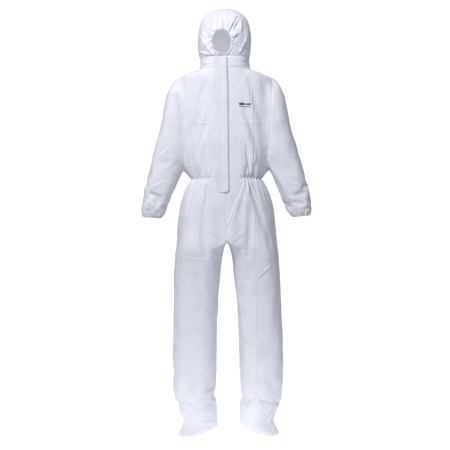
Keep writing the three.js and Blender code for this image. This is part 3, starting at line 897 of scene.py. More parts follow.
def grid_faces(columns, rows):
    """Quads of a grid by column and row that closes round its columns."""
    column, row = np.meshgrid(np.arange(columns), np.arange(rows - 1), indexing="ij")
    a = column * rows + row
    b = (column + 1) % columns * rows + row
    return np.stack([a, a + 1, b + 1, b], -1).reshape(-1, 4)


def make_hood(cloth, thread, elastic):
    hem, hem_away, panel, away, turn = hood_grid()
    columns = len(turn)
    # the panels
    angle = np.repeat(2 * np.pi * turn[:, None], HOOD_ROWS, axis=1)
    field = np.stack([np.cos(angle), np.sin(angle), away], -1).reshape(-1, 3)
    skin = skin_from(panel.reshape(-1, 3), grid_faces(columns, HOOD_ROWS), {"edge": field})
    cut_hood(skin)
    mesh, rest, (edge,) = unpacked(skin, ["edge"])
    round_edge = np.arctan2(edge[:, 1], edge[:, 0]) / (2 * np.pi)
    displaced(mesh, rest.copy(), rest, lambda p, n: hood_relief(p, n, round_edge, edge[:, 2]))
    names = hood_piece_names(middles(rest, faces_of(mesh)))
    pieces = split_skin(mesh, names, rest)
    # the hem: its outer face, a rolled edge and its inner face
    outward = grid_normals(hem)
    flat = hem.reshape(-1, 3)
    relief = hood_relief(flat, outward.reshape(-1, 3), np.repeat(turn, HEM_ROWS), hem_away.ravel())
    outer = hem + outward * relief.reshape(hem.shape[:2])[..., None]
    puff = 0.0012 * np.sin(np.linspace(0, np.pi, HEM_ROWS))[None, :, None]
    outer = outer + outward * puff
    inner = (outer - outward * HEM_APART)[:, ::-1][:, -6:]
    edge_out = outer[:, 0] - outer[:, 1]
    edge_out /= np.linalg.norm(edge_out, axis=1, keepdims=True)
    roll = rolled(outer[:, 0], inner[:, -1], edge_out * 0.0017)[:, ::-1]
    profile = np.concatenate([inner, roll, outer], axis=1)
    ring = mesh_from("hood_face_hem", profile.reshape(-1, 3), grid_faces(columns, profile.shape[1]))
    line = outer[:, -3] + outward[:, -3] * 0.0002
    sew(ring, closed(line), closed(outward[:, -3]))
    pieces["hood_face_hem"] = finish_piece("hood_face_hem", ring, [cloth, thread])
    low, high = outer[:, 3] - outward[:, 3] * 0.0014, outer[:, -4] - outward[:, -4] * 0.0014
    band = ribbon(low, high, outward[:, 3])
    pieces["hood_face_elastic"] = finish_piece("hood_face_elastic", band, [elastic])
    for name in ("hood_centre_panel", "hood_side_panel_left", "hood_side_panel_right"):
        pieces[name].data.materials.append(cloth)
    return pieces


def grid_normals(grid):
    """Outward unit normals of a grid by column and row that closes round its columns."""
    around = np.roll(grid, -1, axis=0) - np.roll(grid, 1, axis=0)
    along = np.gradient(grid, axis=1)
    normal = np.cross(along, around)
    normal /= np.linalg.norm(normal, axis=2, keepdims=True)
    middle = grid.reshape(-1, 3).mean(axis=0)
    way = np.sign(np.sum(normal * (grid - middle), axis=2).sum())
    return normal * way


def closed(line):
    return np.vstack([line, line[:1]])


def rolled(outer, inner, bulge):
    """Points round the edge of a hem, from its outer face to its inner face."""
    return np.stack([(outer * (1 + math.cos(t)) + inner * (1 - math.cos(t))) / 2 + bulge * math.sin(t)
                     for t in (0.8, 1.57, 2.34)], 1)


def ribbon(low, high, outward, thick=0.0007):
    """A closed flat band between two loops of points."""
    back = outward * thick
    loops = np.stack([low, high, high - back, low - back])
    sides = len(low)
    faces = tube_faces(4, sides)
    last = tube_faces(2, sides) % sides + np.where(tube_faces(2, sides) >= sides, 0, 3 * sides)
    return mesh_from("ribbon", loops.reshape(-1, 3), np.vstack([faces, last]))


# ---- Neck band ----
BAND_ROWS, BAND_COLUMNS = 26, 400
BAND_LOW = -4


def make_neck_band(skin, cloth, thread):
    """A band from just inside the neck seam, where it meets the suit's skin, up to the hood."""
    heights = np.linspace(BAND_LOW, COLLAR_TOP - NECK_HEIGHT, BAND_ROWS) + NECK_HEIGHT
    table = np.array(HOOD, float)
    rows = np.column_stack([heights] + [np.interp(heights, table[:, 0], table[:, k]) for k in (1, 2, 3)])
    grid = level_loops(rows, BAND_COLUMNS)
    for n, start in enumerate(grid[0]):
        hit = skin.ray_cast(Vector((0, 0, -0.0005)), Vector((start[0], start[1], 0)))[0]
        if hit is not None:
            meet = (1 - step(-0.0005, 0.012, grid[:, n, 2]))[:, None]
            tuck = 1 - 0.012 * (grid[:, n, 2] < 0)[:, None]
            grid[:, n, :2] += meet * (np.array(hit)[:2] * tuck - grid[:, n, :2])
    normals = -grid_normals(grid.transpose(1, 0, 2)).transpose(1, 0, 2)
    normals *= np.sign((normals * grid).sum())
    flat, out = grid.reshape(-1, 3), normals.reshape(-1, 3)
    quiet = 1 - beside_zip(flat - np.array([0, 0, 0.2]))
    relief = 0.0022 * noise(flat, 0.05, 21) + 0.0010 * noise(flat, 0.02, 22)
    relief += step(0, 0.4, -out[:, 1]) * strokes(flat, COLLAR_FOLDS)
    relief *= quiet * step(0, 0.010, flat[:, 2]) * step(0, 0.010, COLLAR_Z - flat[:, 2])
    relief += collar_seam(flat) - 0.0014 * bell(flat[:, 2], 0.003)
    moved = (flat + out * relief[:, None]).reshape(grid.shape)
    faces = tube_faces(BAND_ROWS, grid.shape[1])
    centre = middles(flat, faces)
    open_for_zip = (np.abs(centre[:, 0]) < ZIP_GAP) & (centre[:, 1] < 0) & (centre[:, 2] < ZIP_TOP_Z)
    used, faces = np.unique(faces[~open_for_zip], return_inverse=True)
    band = mesh_from("neck_band", moved.reshape(-1, 3)[used], faces.reshape(-1, 4))
    away_from_zip = (np.arange(8, BAND_COLUMNS - 8) - BAND_COLUMNS // 4) % BAND_COLUMNS
    for row in (4, BAND_ROWS - 2):
        line = moved[row] + normals[row] * 0.0002
        sew(band, line[away_from_zip], normals[row][away_from_zip])
    return finish_piece("neck_band", band, [cloth, thread])


# ---- Stitches ----
STITCH_PITCH, STITCH_LONG, STITCH_WIDE, STITCH_TALL = 0.0034, 0.0025, 0.00045, 0.0004


def sew(mesh, line, normals):
    """Adds a row of stitches along a line to a mesh, as faces of its second material."""
    length = lengths_along(line[None])[0]
    starts = np.arange(0, length[-1] - STITCH_LONG, STITCH_PITCH)

    def at(lengths, values):
        return np.stack([np.interp(lengths, length, values[:, k]) for k in range(3)], 1)

    a, b, up = at(starts, line), at(starts + STITCH_LONG, line), at(starts, normals)
    middle = (a + b) / 2
    side = np.cross(b - a, up)
    side /= np.linalg.norm(side, axis=1, keepdims=True)
    rise, half = up * STITCH_TALL, side * STITCH_WIDE
    points = np.stack([a, b, middle + rise, middle + half, middle - rise, middle - half], 1)
    shape = [(0, 2, 3), (0, 3, 4), (0, 4, 5), (0, 5, 2), (1, 3, 2), (1, 4, 3), (1, 5, 4), (1, 2, 5)]
    base = len(mesh.vertices)
    faces = [[base + 6 * n + k for k in f] for n in range(len(starts)) for f in shape]
    joined = np.vstack([positions(mesh), points.reshape(-1, 3)])
    old = faces_of(mesh)
    kinds = [p.material_index for p in mesh.polygons] + [1] * len(faces)
    mesh.clear_geometry()
    mesh.from_pydata([tuple(p) for p in joined], [], [tuple(map(int, f)) for f in list(old) + faces])
    mesh.polygons.foreach_set("material_index", kinds)
    mesh.update()


def finish_piece(name, mesh, materials, rest=None):
    mesh.name = name
    thing = link("cloth_" + name, mesh)
    carry(mesh, "rest", positions(mesh) if rest is None else rest)
    mesh.polygons.foreach_set("use_smooth", [True] * len(mesh.polygons))
    for material in materials:
        mesh.materials.append(material)
    return thing


def split_skin(mesh, names, rest):
    """One object per name, with the whole skin's normals, so that cuts inside a panel don't show."""
    pieces = {}
    faces, co, normals = faces_of(mesh), positions(mesh), normals_of(mesh)
    for name in sorted(set(names) - {""}):
        chosen = [faces[n] for n in np.flatnonzero(names == name)]
        used = np.unique(np.concatenate([np.array(f) for f in chosen]))
        index = np.full(len(co), -1)
        index[used] = np.arange(len(used))
        own = mesh_from(name, co[used], [[index[v] for v in f] for f in chosen])
        pieces[name] = finish_piece(name, own, [], rest[used])
        own.normals_split_custom_set_from_vertices([tuple(n) for n in normals[used]])
    return pieces


# ---- Cuffs: a hem round an elastic ----
CUFF_COLUMNS = 220


def make_cuff(side, cloth, thread, elastic, label):
    surface = surface_of([sleeve_loops(side)])
    point, down = cuff_plane(side)
    across = np.array([side * math.cos(CUFF_LEAN), 0, math.sin(CUFF_LEAN)])
    angles = turns(CUFF_COLUMNS)
    outward = np.cos(angles)[:, None] * across + np.sin(angles)[:, None] * np.array([0, 1, 0])
    above = np.concatenate([[0.005, 0.0025], -np.linspace(0, CUFF_LENGTH - 0.0015, 9)])
    grid = np.stack([hits(surface, point - down * a, outward) for a in above], 1)
    flat = grid.reshape(-1, 3)
    relief = (cuff_gathers(flat, side) + 0.0008 * noise(flat, 0.02, 31)).reshape(grid.shape[:2])
    share = np.clip(-above / CUFF_LENGTH, 0, 1)
    relief += 0.0012 * np.sin(np.pi * share) - 0.0020 * share - 0.0022 * (above > 0)
    outer = grid + outward[:, None] * relief[..., None]
    inner = (outer - outward[:, None] * 0.0032)[:, ::-1][:, :7]
    profile = np.concatenate([outer, rolled(outer[:, -1], inner[:, 0], down * 0.0015), inner], axis=1)
    ring = mesh_from("cuff", profile.reshape(-1, 3), grid_faces(CUFF_COLUMNS, profile.shape[1]))
    sew(ring, closed(outer[:, 4] + outward * 0.0003), closed(outward))
    hem = finish_piece(f"cuff_hem_{label}", ring, [cloth, thread])
    band = ribbon(outer[:, 6] - outward * 0.0012, outer[:, 9] - outward * 0.0012, outward)
    return hem, finish_piece(f"cuff_elastic_{label}", band, [elastic])


# ---- Waist elastic and its stitching, on the inside and outside of the draped skin ----
WAIST_HALF, WAIST_SEAM = 0.008, 0.007
WAIST_INSET, WAIST_THICK = 0.0022, 0.0008


def make_waist(skin, elastic, thread):
    angles = np.radians(np.arange(0, 360, 0.6))
    away = np.stack([np.cos(angles), np.sin(angles), 0 * angles], -1)

    def ring(z):
        return hits(skin, (0, 0, z), away)

    def inner(z):
        """The least distance of the cloth round each direction, so that no pleat shows the band."""
        reach = np.linalg.norm(ring(z)[:, :2], axis=1)
        least = np.min([np.roll(reach, n) for n in range(-5, 6)], axis=0)
        smooth = np.mean([np.roll(least, n) for n in range(-4, 5)], axis=0)
        return away * np.minimum(smooth, least)[:, None] + np.array([0, 0, z])

    low, middle, high = inner(WAIST_Z - WAIST_HALF), ring(WAIST_Z), inner(WAIST_Z + WAIST_HALF)
    open_at_zip = (np.abs(middle[:, 0]) > 0.02) | (middle[:, 1] > 0)
    first = np.flatnonzero(open_at_zip & ~np.roll(open_at_zip, 1))[0]
    order = [n % len(angles) for n in range(first, first + len(angles)) if open_at_zip[n % len(angles)]]
    low, high, out = low[order], high[order], away[order]
    near, far = out * WAIST_INSET, out * (WAIST_INSET + WAIST_THICK)
    loops = np.stack([low - near, high - near, high - far, low - far], 1)
    band = finish_piece("waist_elastic", outward(mesh_from("band", *lofted(loops))), [elastic])
    seam = mesh_from("seam", np.empty((0, 3)), [])
    for level in (-WAIST_SEAM, WAIST_SEAM):
        line = ring(WAIST_Z + level)[order]
        sew(seam, line + out * 0.0002, out)
    return band, finish_piece("waist_stitching", seam, [thread, thread])


def outward(mesh):
    skin = bmesh.new()
    skin.from_mesh(mesh)
    bmesh.ops.recalc_face_normals(skin, faces=skin.faces)
    skin.to_mesh(mesh)
    skin.free()
    return mesh


# ---- Storm flap, its sewn edge and its adhesive strip ----
FLAP_SEWN, FLAP_FREE, FLAP_CORNER, FLAP_THICK = -0.0405, 0.0115, 0.018, 0.0007
FLAP_LOW, FLAP_HIGH = (1041 - NECK_HEIGHT) * MM, (1616 - NECK_HEIGHT) * MM
STRAIGHT_LOW = (1058 - NECK_HEIGHT) * MM
GLUE_GAP, GLUE_THICK = 0.0002, 0.0003


def front_surface():
    surface = surface_of([trunk_loops(), hood_loops()])

    def at(x, z):
        start = np.stack([x, x * 0 - 0.5, z], -1).reshape(-1, 3)
        found = [surface.ray_cast(Vector(p), Vector((0, 1, 0)))[0] for p in start]
        return np.array(found, float).reshape(*x.shape, 3)

    return at


def flap_edges(z):
    """The left and right edges of the flap at heights z, with the rounded corners of its end."""
    up = np.clip(z - FLAP_LOW, 0, FLAP_CORNER)
    corner = FLAP_CORNER - np.sqrt(np.clip(FLAP_CORNER ** 2 - (FLAP_CORNER - up) ** 2, 0, None))
    return FLAP_SEWN + corner, FLAP_FREE - 0.0045 * step(-0.10, 0.0, z) - corner


def make_flap(front, cloth, thread, glue):
    turn = FLAP_LOW + FLAP_CORNER * (1 - np.cos(np.linspace(0, np.pi / 2, 12)))
    z = np.concatenate([turn, np.linspace(turn[-1] + 0.003, FLAP_HIGH, 130)])
    left, right = flap_edges(z)
    across = np.linspace(0, 1, 30)[None, :]
    x = left[:, None] + across * (right - left)[:, None]
    high = np.repeat(z[:, None], x.shape[1], axis=1)
    face = front(x, high)
    flat = face.reshape(-1, 3)
    lift = 0.0011 + 0.0037 * (1 - step(0.0062, 0.0125, np.abs(x)) ** 2)
    soft = 0.0007 * (1 + noise(flat, 0.035, 41)) + 0.0005 * (1 + noise(flat * np.array([1, 1, 3]), 0.03, 42))
    lift = lift + soft.reshape(x.shape) * step(-0.0405, -0.03, x)
    edge = np.minimum(x - left[:, None], right[:, None] - x)
    pucker = noise(flat, 0.009, 43).reshape(x.shape)
    lift += 0.0004 * bell(edge - 0.003, 0.004) * (1 + pucker) - 0.0004 * bell(edge - 0.003, 0.0012)
    back = np.array([0, 1, 0])
    outer = face - back * lift[..., None]
    thick = FLAP_THICK * np.sqrt(np.clip(edge / 0.0008, 0.05, 1))
    inner = outer + back * thick[..., None]
    loops = np.concatenate([outer, inner[:, ::-1]], axis=1)
    sheet = outward(mesh_from("flap", *lofted(loops)))
    normals = np.tile(-back, (len(z), 1)).astype(float)
    for column in (2, 4, -3):
        sew(sheet, outer[10:, column], normals[10:])
    flap = finish_piece("storm_flap", sheet, [cloth, thread])
    rows = (z > STRAIGHT_LOW) & (z < FLAP_HIGH - 0.004)
    near, far = inner[rows][:, -4] + back * GLUE_GAP, inner[rows][:, -2] + back * GLUE_GAP
    strip = np.stack([near, far, far + back * GLUE_THICK, near + back * GLUE_THICK], 1)
    glue_strip = finish_piece("flap_adhesive_strip", outward(mesh_from("glue", *lofted(strip))), [glue])
    return flap, glue_strip


WELT_MIDDLE, WELT_HALF, WELT_SIDES = -0.0416, 0.0039, 14


def make_welt(front, cloth, thread):
    """The soft ridge along the sewn edge of the flap."""
    z = np.linspace(STRAIGHT_LOW, FLAP_HIGH, 150)
    angles = turns(WELT_SIDES)
    x = WELT_MIDDLE + WELT_HALF * np.cos(angles)[None, :] + 0 * z[:, None]
    face = front(x, np.repeat(z[:, None], WELT_SIDES, axis=1))
    flat = face.reshape(-1, 3)
    tall = 0.0012 + 0.0003 * noise(flat, 0.012, 45).reshape(x.shape)
    rise = tall * np.sin(angles)[None, :] + 0.0003
    loops = face - np.array([0, 1, 0]) * rise[..., None]
    ridge = outward(mesh_from("welt", *lofted(loops)))
    crest = int(np.argmin(np.abs(angles - np.pi / 2)))
    sew(ridge, loops[:, crest - 1], np.tile([0.0, -1.0, 0.0], (len(z), 1)))
    return finish_piece("flap_seam_welt", ridge, [cloth, thread])


# ---- Zip teeth ----
ZIP_UP = np.array([0, CHIN_FRONT - BELLY_FRONT, COLLAR_TOP - ZIP_BOTTOM], float)
ZIP_UP /= np.linalg.norm(ZIP_UP)
ZIP_BACK = np.array([0, ZIP_UP[2], -ZIP_UP[1]])
ZIP_FOOT = np.array([0, BELLY_FRONT, ZIP_BOTTOM - NECK_HEIGHT]) * MM
ZIP_SPARE = 0.0045
TOOTH_PITCH, TOOTH_HIGH = 0.0014, 0.0009
TOOTH_FRONT, TOOTH_BACK = 0.0010, 0.0029
# How far out from the middle of the zip each ring of a tooth is, and its share of the full thickness.
TOOTH_RINGS = ((-0.0003, 0.45), (0.0002, 1.0), (0.0012, 0.85), (0.0022, 0.9))


def on_zip(x, back, up):
    x, back, up = np.broadcast_arrays(x, back, up)
    return ZIP_FOOT + x[..., None] * np.array([1, 0, 0]) + back[..., None] * ZIP_BACK + up[..., None] * ZIP_UP


def make_coil(side, nylon, label):
    """One side of the coil: a row of rounded teeth that lie between those of the other side."""
    end = (ZIP_TOP - ZIP_BOTTOM) * MM / ZIP_UP[2] - ZIP_SPARE
    start = ZIP_SPARE + TOOTH_PITCH * (1 if side > 0 else 1.5)
    ring = turns(8)
    points, faces = [], []
    depth = (TOOTH_BACK - TOOTH_FRONT) / 2 * np.sin(ring)
    tall = TOOTH_HIGH / 2 * np.cos(ring)
    centre = (TOOTH_BACK + TOOTH_FRONT) / 2
    for up in np.arange(start, end - TOOTH_PITCH, TOOTH_PITCH):
        loops = np.stack([on_zip(side * x, centre + depth * s, up + tall * s) for x, s in TOOTH_RINGS])
        own, own_faces = lofted(loops)
        faces += [[len(points) * len(own) + n for n in f] for f in own_faces]
        points.append(own)
    return finish_piece(f"zip_coil_{label}", outward(mesh_from("coil", np.vstack(points), faces)), [nylon])


# ---- Chest mark: three plain printed bars ----
# Each bar's middle x and z, half width and half height.
MARK_BARS = [(0.0690, -0.1585, 0.0115, 0.0056), (0.0955, -0.1592, 0.0120, 0.0036),
             (0.0825, -0.1695, 0.0245, 0.0011)]
MARK_RINGS = ((0.05, 0.0005), (0.35, 0.0005), (0.7, 0.0005), (0.96, 0.0005), (1.0, 0.0))
MARK_SIDES = 40


def make_mark(skin, ink):
    """Bars that lie on the cloth, each made of rings of points with a share of its size and a lift."""
    points, faces = [], []
    for x, z, half, tall in MARK_BARS:
        base = len(points)
        for share, lift in MARK_RINGS:
            for a, b in zip(*oval(MARK_SIDES, 0.3)):
                start = Vector((x + half * share * a, -0.4, z + tall * share * b))
                hit, normal, _, _ = skin.ray_cast(start, Vector((0, 1, 0)))
                way = -1 if normal.y > 0 else 1
                points.append(tuple(hit + normal * way * lift))
        faces += [[base + n for n in f] for f in tube_faces(len(MARK_RINGS), MARK_SIDES)]
        faces.append([base + n for n in range(MARK_SIDES)])
    return finish_piece("chest_mark", mesh_from("mark", points, faces), [ink])


# ---- Materials ----
class Look:
    """A procedural material, built up node by node from the rest position of each point."""

    def __init__(self, name, roughness, carried=True, **settings):
        self.material = bpy.data.materials.new(name)
        self.material.use_nodes = True
        self.nodes = self.material.node_tree.nodes
        self.links = self.material.node_tree.links
        self.shader = self.nodes["Principled BSDF"]
        self.shader.inputs["Roughness"].default_value = roughness
        for key, value in settings.items():
            self.shader.inputs[key].default_value = value
        if carried:
            place = self.nodes.new("ShaderNodeAttribute")
            place.attribute_name = "rest"
            self.place = place.outputs["Vector"]
        else:
            self.place = self.nodes.new("ShaderNodeTexCoord").outputs["Object"]
        self.bump = None

    def texture(self, kind, scale, stretch=None, **settings):
        node = self.nodes.new("ShaderNodeTex" + kind)
        place = self.place
        if stretch:
            mapping = self.nodes.new("ShaderNodeMapping")
            mapping.inputs["Scale"].default_value = stretch
            self.links.new(place, mapping.inputs["Vector"])
            place = mapping.outputs["Vector"]
        self.links.new(place, node.inputs["Vector"])
        node.inputs["Scale"].default_value = scale
        for key, value in settings.items():
            if hasattr(node, key):
                setattr(node, key, value)
            else:
                node.inputs[key.replace("_", " ").title()].default_value = value
        names = [o.name for o in node.outputs]
        return node.outputs["Fac" if "Fac" in names else "Distance"]

    def cells(self, scale, randomness, feature="F1"):
        return self.texture("Voronoi", scale, feature=feature, randomness=randomness)

    def waves(self, scale, direction, distortion):
        return self.texture("Wave", scale, bands_direction=direction, distortion=distortion)

    def ranged(self, source, low, high, to_low=0.0, to_high=1.0):
        node = self.nodes.new("ShaderNodeMapRange")
        self.links.new(source, node.inputs["Value"])
        for key, value in (("From Min", low), ("From Max", high), ("To Min", to_low), ("To Max", to_high)):
            node.inputs[key].default_value = value
        return node.outputs["Result"]

    def times(self, a, b):
        node = self.nodes.new("ShaderNodeMath")
        node.operation = "MULTIPLY"
        self.links.new(a, node.inputs[0])
        self.links.new(b, node.inputs[1])
        return node.outputs[0]

    def raise_by(self, source, distance, strength=1.0):
        node = self.nodes.new("ShaderNodeBump")
        node.inputs["Distance"].default_value = distance
        node.inputs["Strength"].default_value = strength
        self.links.new(source, node.inputs["Height"])
        if self.bump is not None:
            self.links.new(self.bump, node.inputs["Normal"])
        self.bump = node.outputs["Normal"]
        self.links.new(self.bump, self.shader.inputs["Normal"])

    def coloured(self, source, first, second):
        node = self.nodes.new("ShaderNodeMix")
        node.data_type = "RGBA"
        node.inputs["A"].default_value = (*first, 1)
        node.inputs["B"].default_value = (*second, 1)
        self.links.new(source, node.inputs["Factor"])
        self.links.new(node.outputs["Result"], self.shader.inputs["Base Color"])

    def let_through(self, share):
        """Lets a share of the light through the thin cloth, which keeps the inside of the hood pale."""
        thin = self.nodes.new("ShaderNodeBsdfTranslucent")
        thin.inputs["Color"].default_value = (*CLOTH_LIGHT, 1)
        mix = self.nodes.new("ShaderNodeMixShader")
        mix.inputs["Fac"].default_value = share
        self.links.new(self.shader.outputs["BSDF"], mix.inputs[1])
        self.links.new(thin.outputs["BSDF"], mix.inputs[2])
        self.links.new(mix.outputs["Shader"], self.nodes["Material Output"].inputs["Surface"])

    def rough(self, source, low, high):
        self.links.new(self.ranged(source, 0.3, 0.7, low, high), self.shader.inputs["Roughness"])


CLOTH_LIGHT, CLOTH_DARK = (0.800, 0.815, 0.870), (0.700, 0.718, 0.785)


def nonwoven():
    """Spun-bonded film: matt fibres, a fine grid of bond points and papery crinkles."""
    look = Look("nonwoven", 0.7, **{"Sheen Weight": 0.12, "Sheen Roughness": 0.5, "Specular IOR Level": 0.35})
    mottle = look.texture("Noise", 16, detail=5, roughness=0.62)
    fibres = look.texture("Noise", 520, stretch=(1, 1, 0.35), detail=3, distortion=1.2)
    bonds = look.cells(560, 0.12)
    crinkle = look.texture("Noise", 42, detail=6, roughness=0.6, distortion=0.4)
    crumple = look.cells(26, 1.0, "DISTANCE_TO_EDGE")
    spots = look.ranged(bonds, 0.10, 0.34)
    both = look.times(look.ranged(mottle, 0.1, 0.62), look.ranged(fibres, 0.0, 0.62, 0.7, 1.0))
    look.coloured(look.ranged(both, 0.25, 0.75), CLOTH_DARK, CLOTH_LIGHT)
    look.rough(fibres, 0.62, 0.8)
    look.raise_by(look.ranged(crumple, 0.0, 0.16), 0.0006, 0.35)
    look.raise_by(crinkle, 0.0018, 0.45)
    look.raise_by(spots, 0.00022, 0.6)
    look.raise_by(fibres, 0.00012, 0.5)
    look.let_through(0.25)
    return look.material


def woven(name, first, second, scale, roughness=0.75, carried=True):
    """Narrow woven or knitted tape, with ribs across threads."""
    look = Look(name, roughness, carried, **{"Sheen Weight": 0.2})
    ribs, threads = look.waves(scale, "Z", 0.6), look.waves(scale * 0.7, "DIAGONAL", 1.0)
    both = look.times(look.ranged(ribs, 0, 1, 0.55, 1.0), look.ranged(threads, 0, 1, 0.6, 1.0))
    look.coloured(both, second, first)
    look.rough(threads, roughness - 0.08, roughness + 0.08)
    look.raise_by(both, 0.0003, 0.8)
    return look.material


def plastic(name, first, second, roughness, carried=False):
    """Moulded nylon or plastic with a faint grain and handling marks."""
    look = Look(name, roughness, carried, **{"Coat Weight": 0.1, "Subsurface Weight": 0.05})
    grain = look.texture("Noise", 900, detail=4)
    wear = look.texture("Noise", 120, stretch=(1, 1, 0.15), detail=5, roughness=0.7)
    look.coloured(wear, second, first)
    look.rough(wear, roughness - 0.1, roughness + 0.15)
    look.raise_by(grain, 0.00004, 0.6)
    look.raise_by(wear, 0.00006, 0.5)
    return look.material


def sole_look():
    """Tougher coated film with small raised grip dots."""
    look = Look("sole", 0.6, **{"Specular IOR Level": 0.4})
    dots = look.cells(240, 0.0)
    dirt = look.texture("Noise", 30, detail=6, roughness=0.7)
    look.coloured(dirt, (0.50, 0.515, 0.56), (0.64, 0.655, 0.70))
    look.rough(dirt, 0.5, 0.72)
    look.raise_by(look.ranged(dots, 0.45, 0.2), 0.0006, 0.9)
    return look.material


def thread_look():
    look = Look("thread", 0.6, **{"Sheen Weight": 0.2})
    twist = look.waves(900, "DIAGONAL", 0.5)
    look.coloured(twist, (0.60, 0.615, 0.68), (0.80, 0.81, 0.86))
    look.raise_by(twist, 0.0001, 0.6)
    return look.material


def ink_look():
    """Navy print that lets a little of the cloth's grain through."""
    look = Look("ink", 0.55)
    fibres = look.texture("Noise", 520, detail=3, distortion=1.2)
    bonds = look.cells(560, 0.12)
    look.coloured(look.ranged(fibres, 0.35, 0.75), (0.022, 0.040, 0.150), (0.075, 0.105, 0.270))
    look.rough(fibres, 0.45, 0.65)
    look.raise_by(look.ranged(bonds, 0.10, 0.34), 0.0002, 0.5)
    return look.material


def glue_look():
    """Double-sided tape under its pale release paper."""
    look = Look("adhesive", 0.35, **{"Coat Weight": 0.3})
    grain = look.texture("Noise", 300, detail=4)
    cells = look.cells(400, 0.4)
    look.coloured(grain, (0.48, 0.56, 0.66), (0.66, 0.72, 0.80))
    look.rough(grain, 0.25, 0.45)
    look.raise_by(cells, 0.00008, 0.6)
    return look.material


def stand_for(node):
    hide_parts(node)


def place_suit(pieces):
    for name, piece in pieces.items():
        label = name.rsplit("_", 1)[1]
        if name.startswith(("front", "back")):
            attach(piece, "trunk")
        elif name.startswith("sleeve"):
            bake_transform(piece)
        elif name.startswith("leg"):
            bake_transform(piece)
        else:
            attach(piece, f"leg_{label}")
        stand_for(name)


def place_hood(pieces):
    for name, piece in pieces.items():
        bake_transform(piece)
        stand_for(name)


def place(piece, node, body, slot):
    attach(piece, body)
    stand_for(node)


# ---- Camera, light and floor ----
VIEW_WIDTH = 1.97
FLOOR_RADIUS, FLOOR_SIDES = 0.80, 96
PALE_BLUE = (0.94, 0.96, 1.0)


def make_camera():
    data = bpy.data.cameras.new("camera")
    data.sensor_width = 36
    data.lens = 36 * CAMERA_AWAY / VIEW_WIDTH
    camera = link("camera", data)
    camera.location = (-0.0066, -CAMERA_AWAY, CAMERA_Z)
    camera.rotation_euler = (math.radians(90 - 0.81), math.radians(0.6), 0)
    bpy.context.scene.camera = camera


def area_light(name, where, target, size, power, colour=(1, 1, 1)):
    data = bpy.data.lights.new(name, "AREA")
    data.size = size
    data.energy = power
    data.color = colour
    light = link(name, data)
    light.location = where
    light.rotation_euler = (Vector(target) - Vector(where)).to_track_quat("-Z", "Y").to_euler()


def make_light():
    """Soft light, mostly from the upper left front, and a white background."""
    bpy.context.scene.view_settings.view_transform = "Standard"
    world = bpy.data.worlds.new("studio")
    bpy.context.scene.world = world
    world.use_nodes = True
    nodes, links = world.node_tree.nodes, world.node_tree.links
    ambient = nodes["Background"]
    ambient.inputs["Color"].default_value = (0.90, 0.93, 1.0, 1)
    ambient.inputs["Strength"].default_value = 0.21
    white = nodes.new("ShaderNodeBackground")
    white.inputs["Color"].default_value = (1, 1, 1, 1)
    white.inputs["Strength"].default_value = 1.1
    mix, path = nodes.new("ShaderNodeMixShader"), nodes.new("ShaderNodeLightPath")
    links.new(path.outputs["Is Camera Ray"], mix.inputs["Fac"])
    links.new(ambient.outputs["Background"], mix.inputs[1])
    links.new(white.outputs["Background"], mix.inputs[2])
    links.new(mix.outputs["Shader"], nodes["World Output"].inputs["Surface"])
    area_light("key", (-1.6, -2.5, 1.8), (0, 0, -0.6), 0.9, 124)
    area_light("fill", (1.3, -2.9, 1.1), (0, 0, -0.4), 1.8, 34, PALE_BLUE)
    area_light("back", (1.2, 2.8, 2.4), (0, 0, -0.6), 1.6, 34, PALE_BLUE)
    area_light("glow", (-0.013, -0.02, 0.10), (-0.013, 0.10, 0.11), 0.08, 0.09)


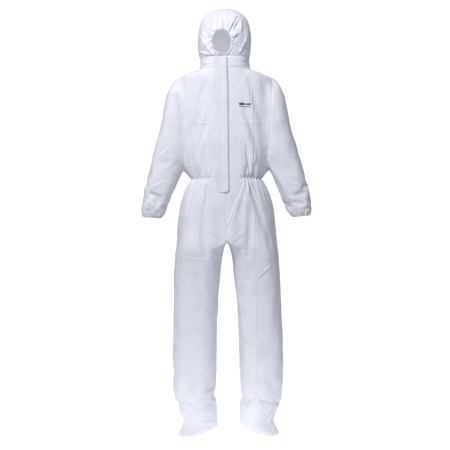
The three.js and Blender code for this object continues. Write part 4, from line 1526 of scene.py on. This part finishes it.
def make_floor():
    rim = [(FLOOR_RADIUS * math.cos(a), FLOOR_RADIUS * math.sin(a), FLOOR_Z) for a in turns(FLOOR_SIDES)]
    floor = link("floor", mesh_from("floor", rim, [range(FLOOR_SIDES)]))
    look = Look("floor", 0.9, carried=False)
    grain = look.texture("Noise", 6, detail=3)
    look.coloured(grain, (0.93, 0.93, 0.935), (0.96, 0.96, 0.965))
    look.shader.inputs["Emission Color"].default_value = (1, 1, 1, 1)
    look.shader.inputs["Emission Strength"].default_value = 0.80
    floor.data.materials.append(look.material)


make_camera()
make_light()
make_floor()

cloth, thread = nonwoven(), thread_look()
elastic = woven("elastic", (0.86, 0.86, 0.88), (0.62, 0.63, 0.68), 700)
nylon = plastic("nylon", (0.84, 0.84, 0.86), (0.72, 0.73, 0.76), 0.42, carried=True)

skin, rest = suit_skin()
suit_tree = BVHTree.FromPolygons([Vector(p) for p in positions(skin)], faces_of(skin))
suit_pieces = split_skin(skin, suit_piece_names(middles(rest, faces_of(skin))), rest)
sole = sole_look()
for name, piece in suit_pieces.items():
    piece.data.materials.append(sole if "sole" in name else cloth)
place_suit(suit_pieces)

place_hood(make_hood(cloth, thread, elastic))
place(make_neck_band(suit_tree, cloth, thread), "neck_band", "trunk", "fabric")

for label, side in SIDES:
    hem, band = make_cuff(side, cloth, thread, elastic, label)
    place(hem, f"cuff_hem_{label}", f"sleeve_{label}", "fabric")
    place(band, f"cuff_elastic_{label}", f"sleeve_{label}", "elastic")
    place(make_coil(side, nylon, label), f"zip_coil_{label}", "trunk", "zip_coil")

band, stitching = make_waist(suit_tree, elastic, thread)
place(band, "waist_elastic", "trunk", "elastic")
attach(stitching, "trunk")

front = front_surface()
flap, glue = make_flap(front, cloth, thread, glue_look())
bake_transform(flap)
stand_for("storm_flap")
place(glue, "flap_adhesive_strip", "flap", "adhesive")
place(make_welt(front, cloth, thread), "flap_seam_welt", "trunk", "fabric")
place(make_mark(suit_tree, ink_look()), "chest_mark", "trunk", "mark")

tape = woven("zip tape", (0.82, 0.83, 0.87), (0.66, 0.67, 0.73), 900, carried=False)
moulded = plastic("moulded plastic", (0.84, 0.84, 0.86), (0.70, 0.71, 0.75), 0.38)
carried_over = {
    tape: ("zip_tape_left", "zip_tape_right"),
    moulded: ("zip_top_stop_left", "zip_top_stop_right", "zip_bottom_stop", "zip_slider", "zip_pull_pin",
              "zip_pull"),
}
for look, nodes in carried_over.items():
    for node in nodes:
        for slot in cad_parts[node].material_slots:
            slot.material = look
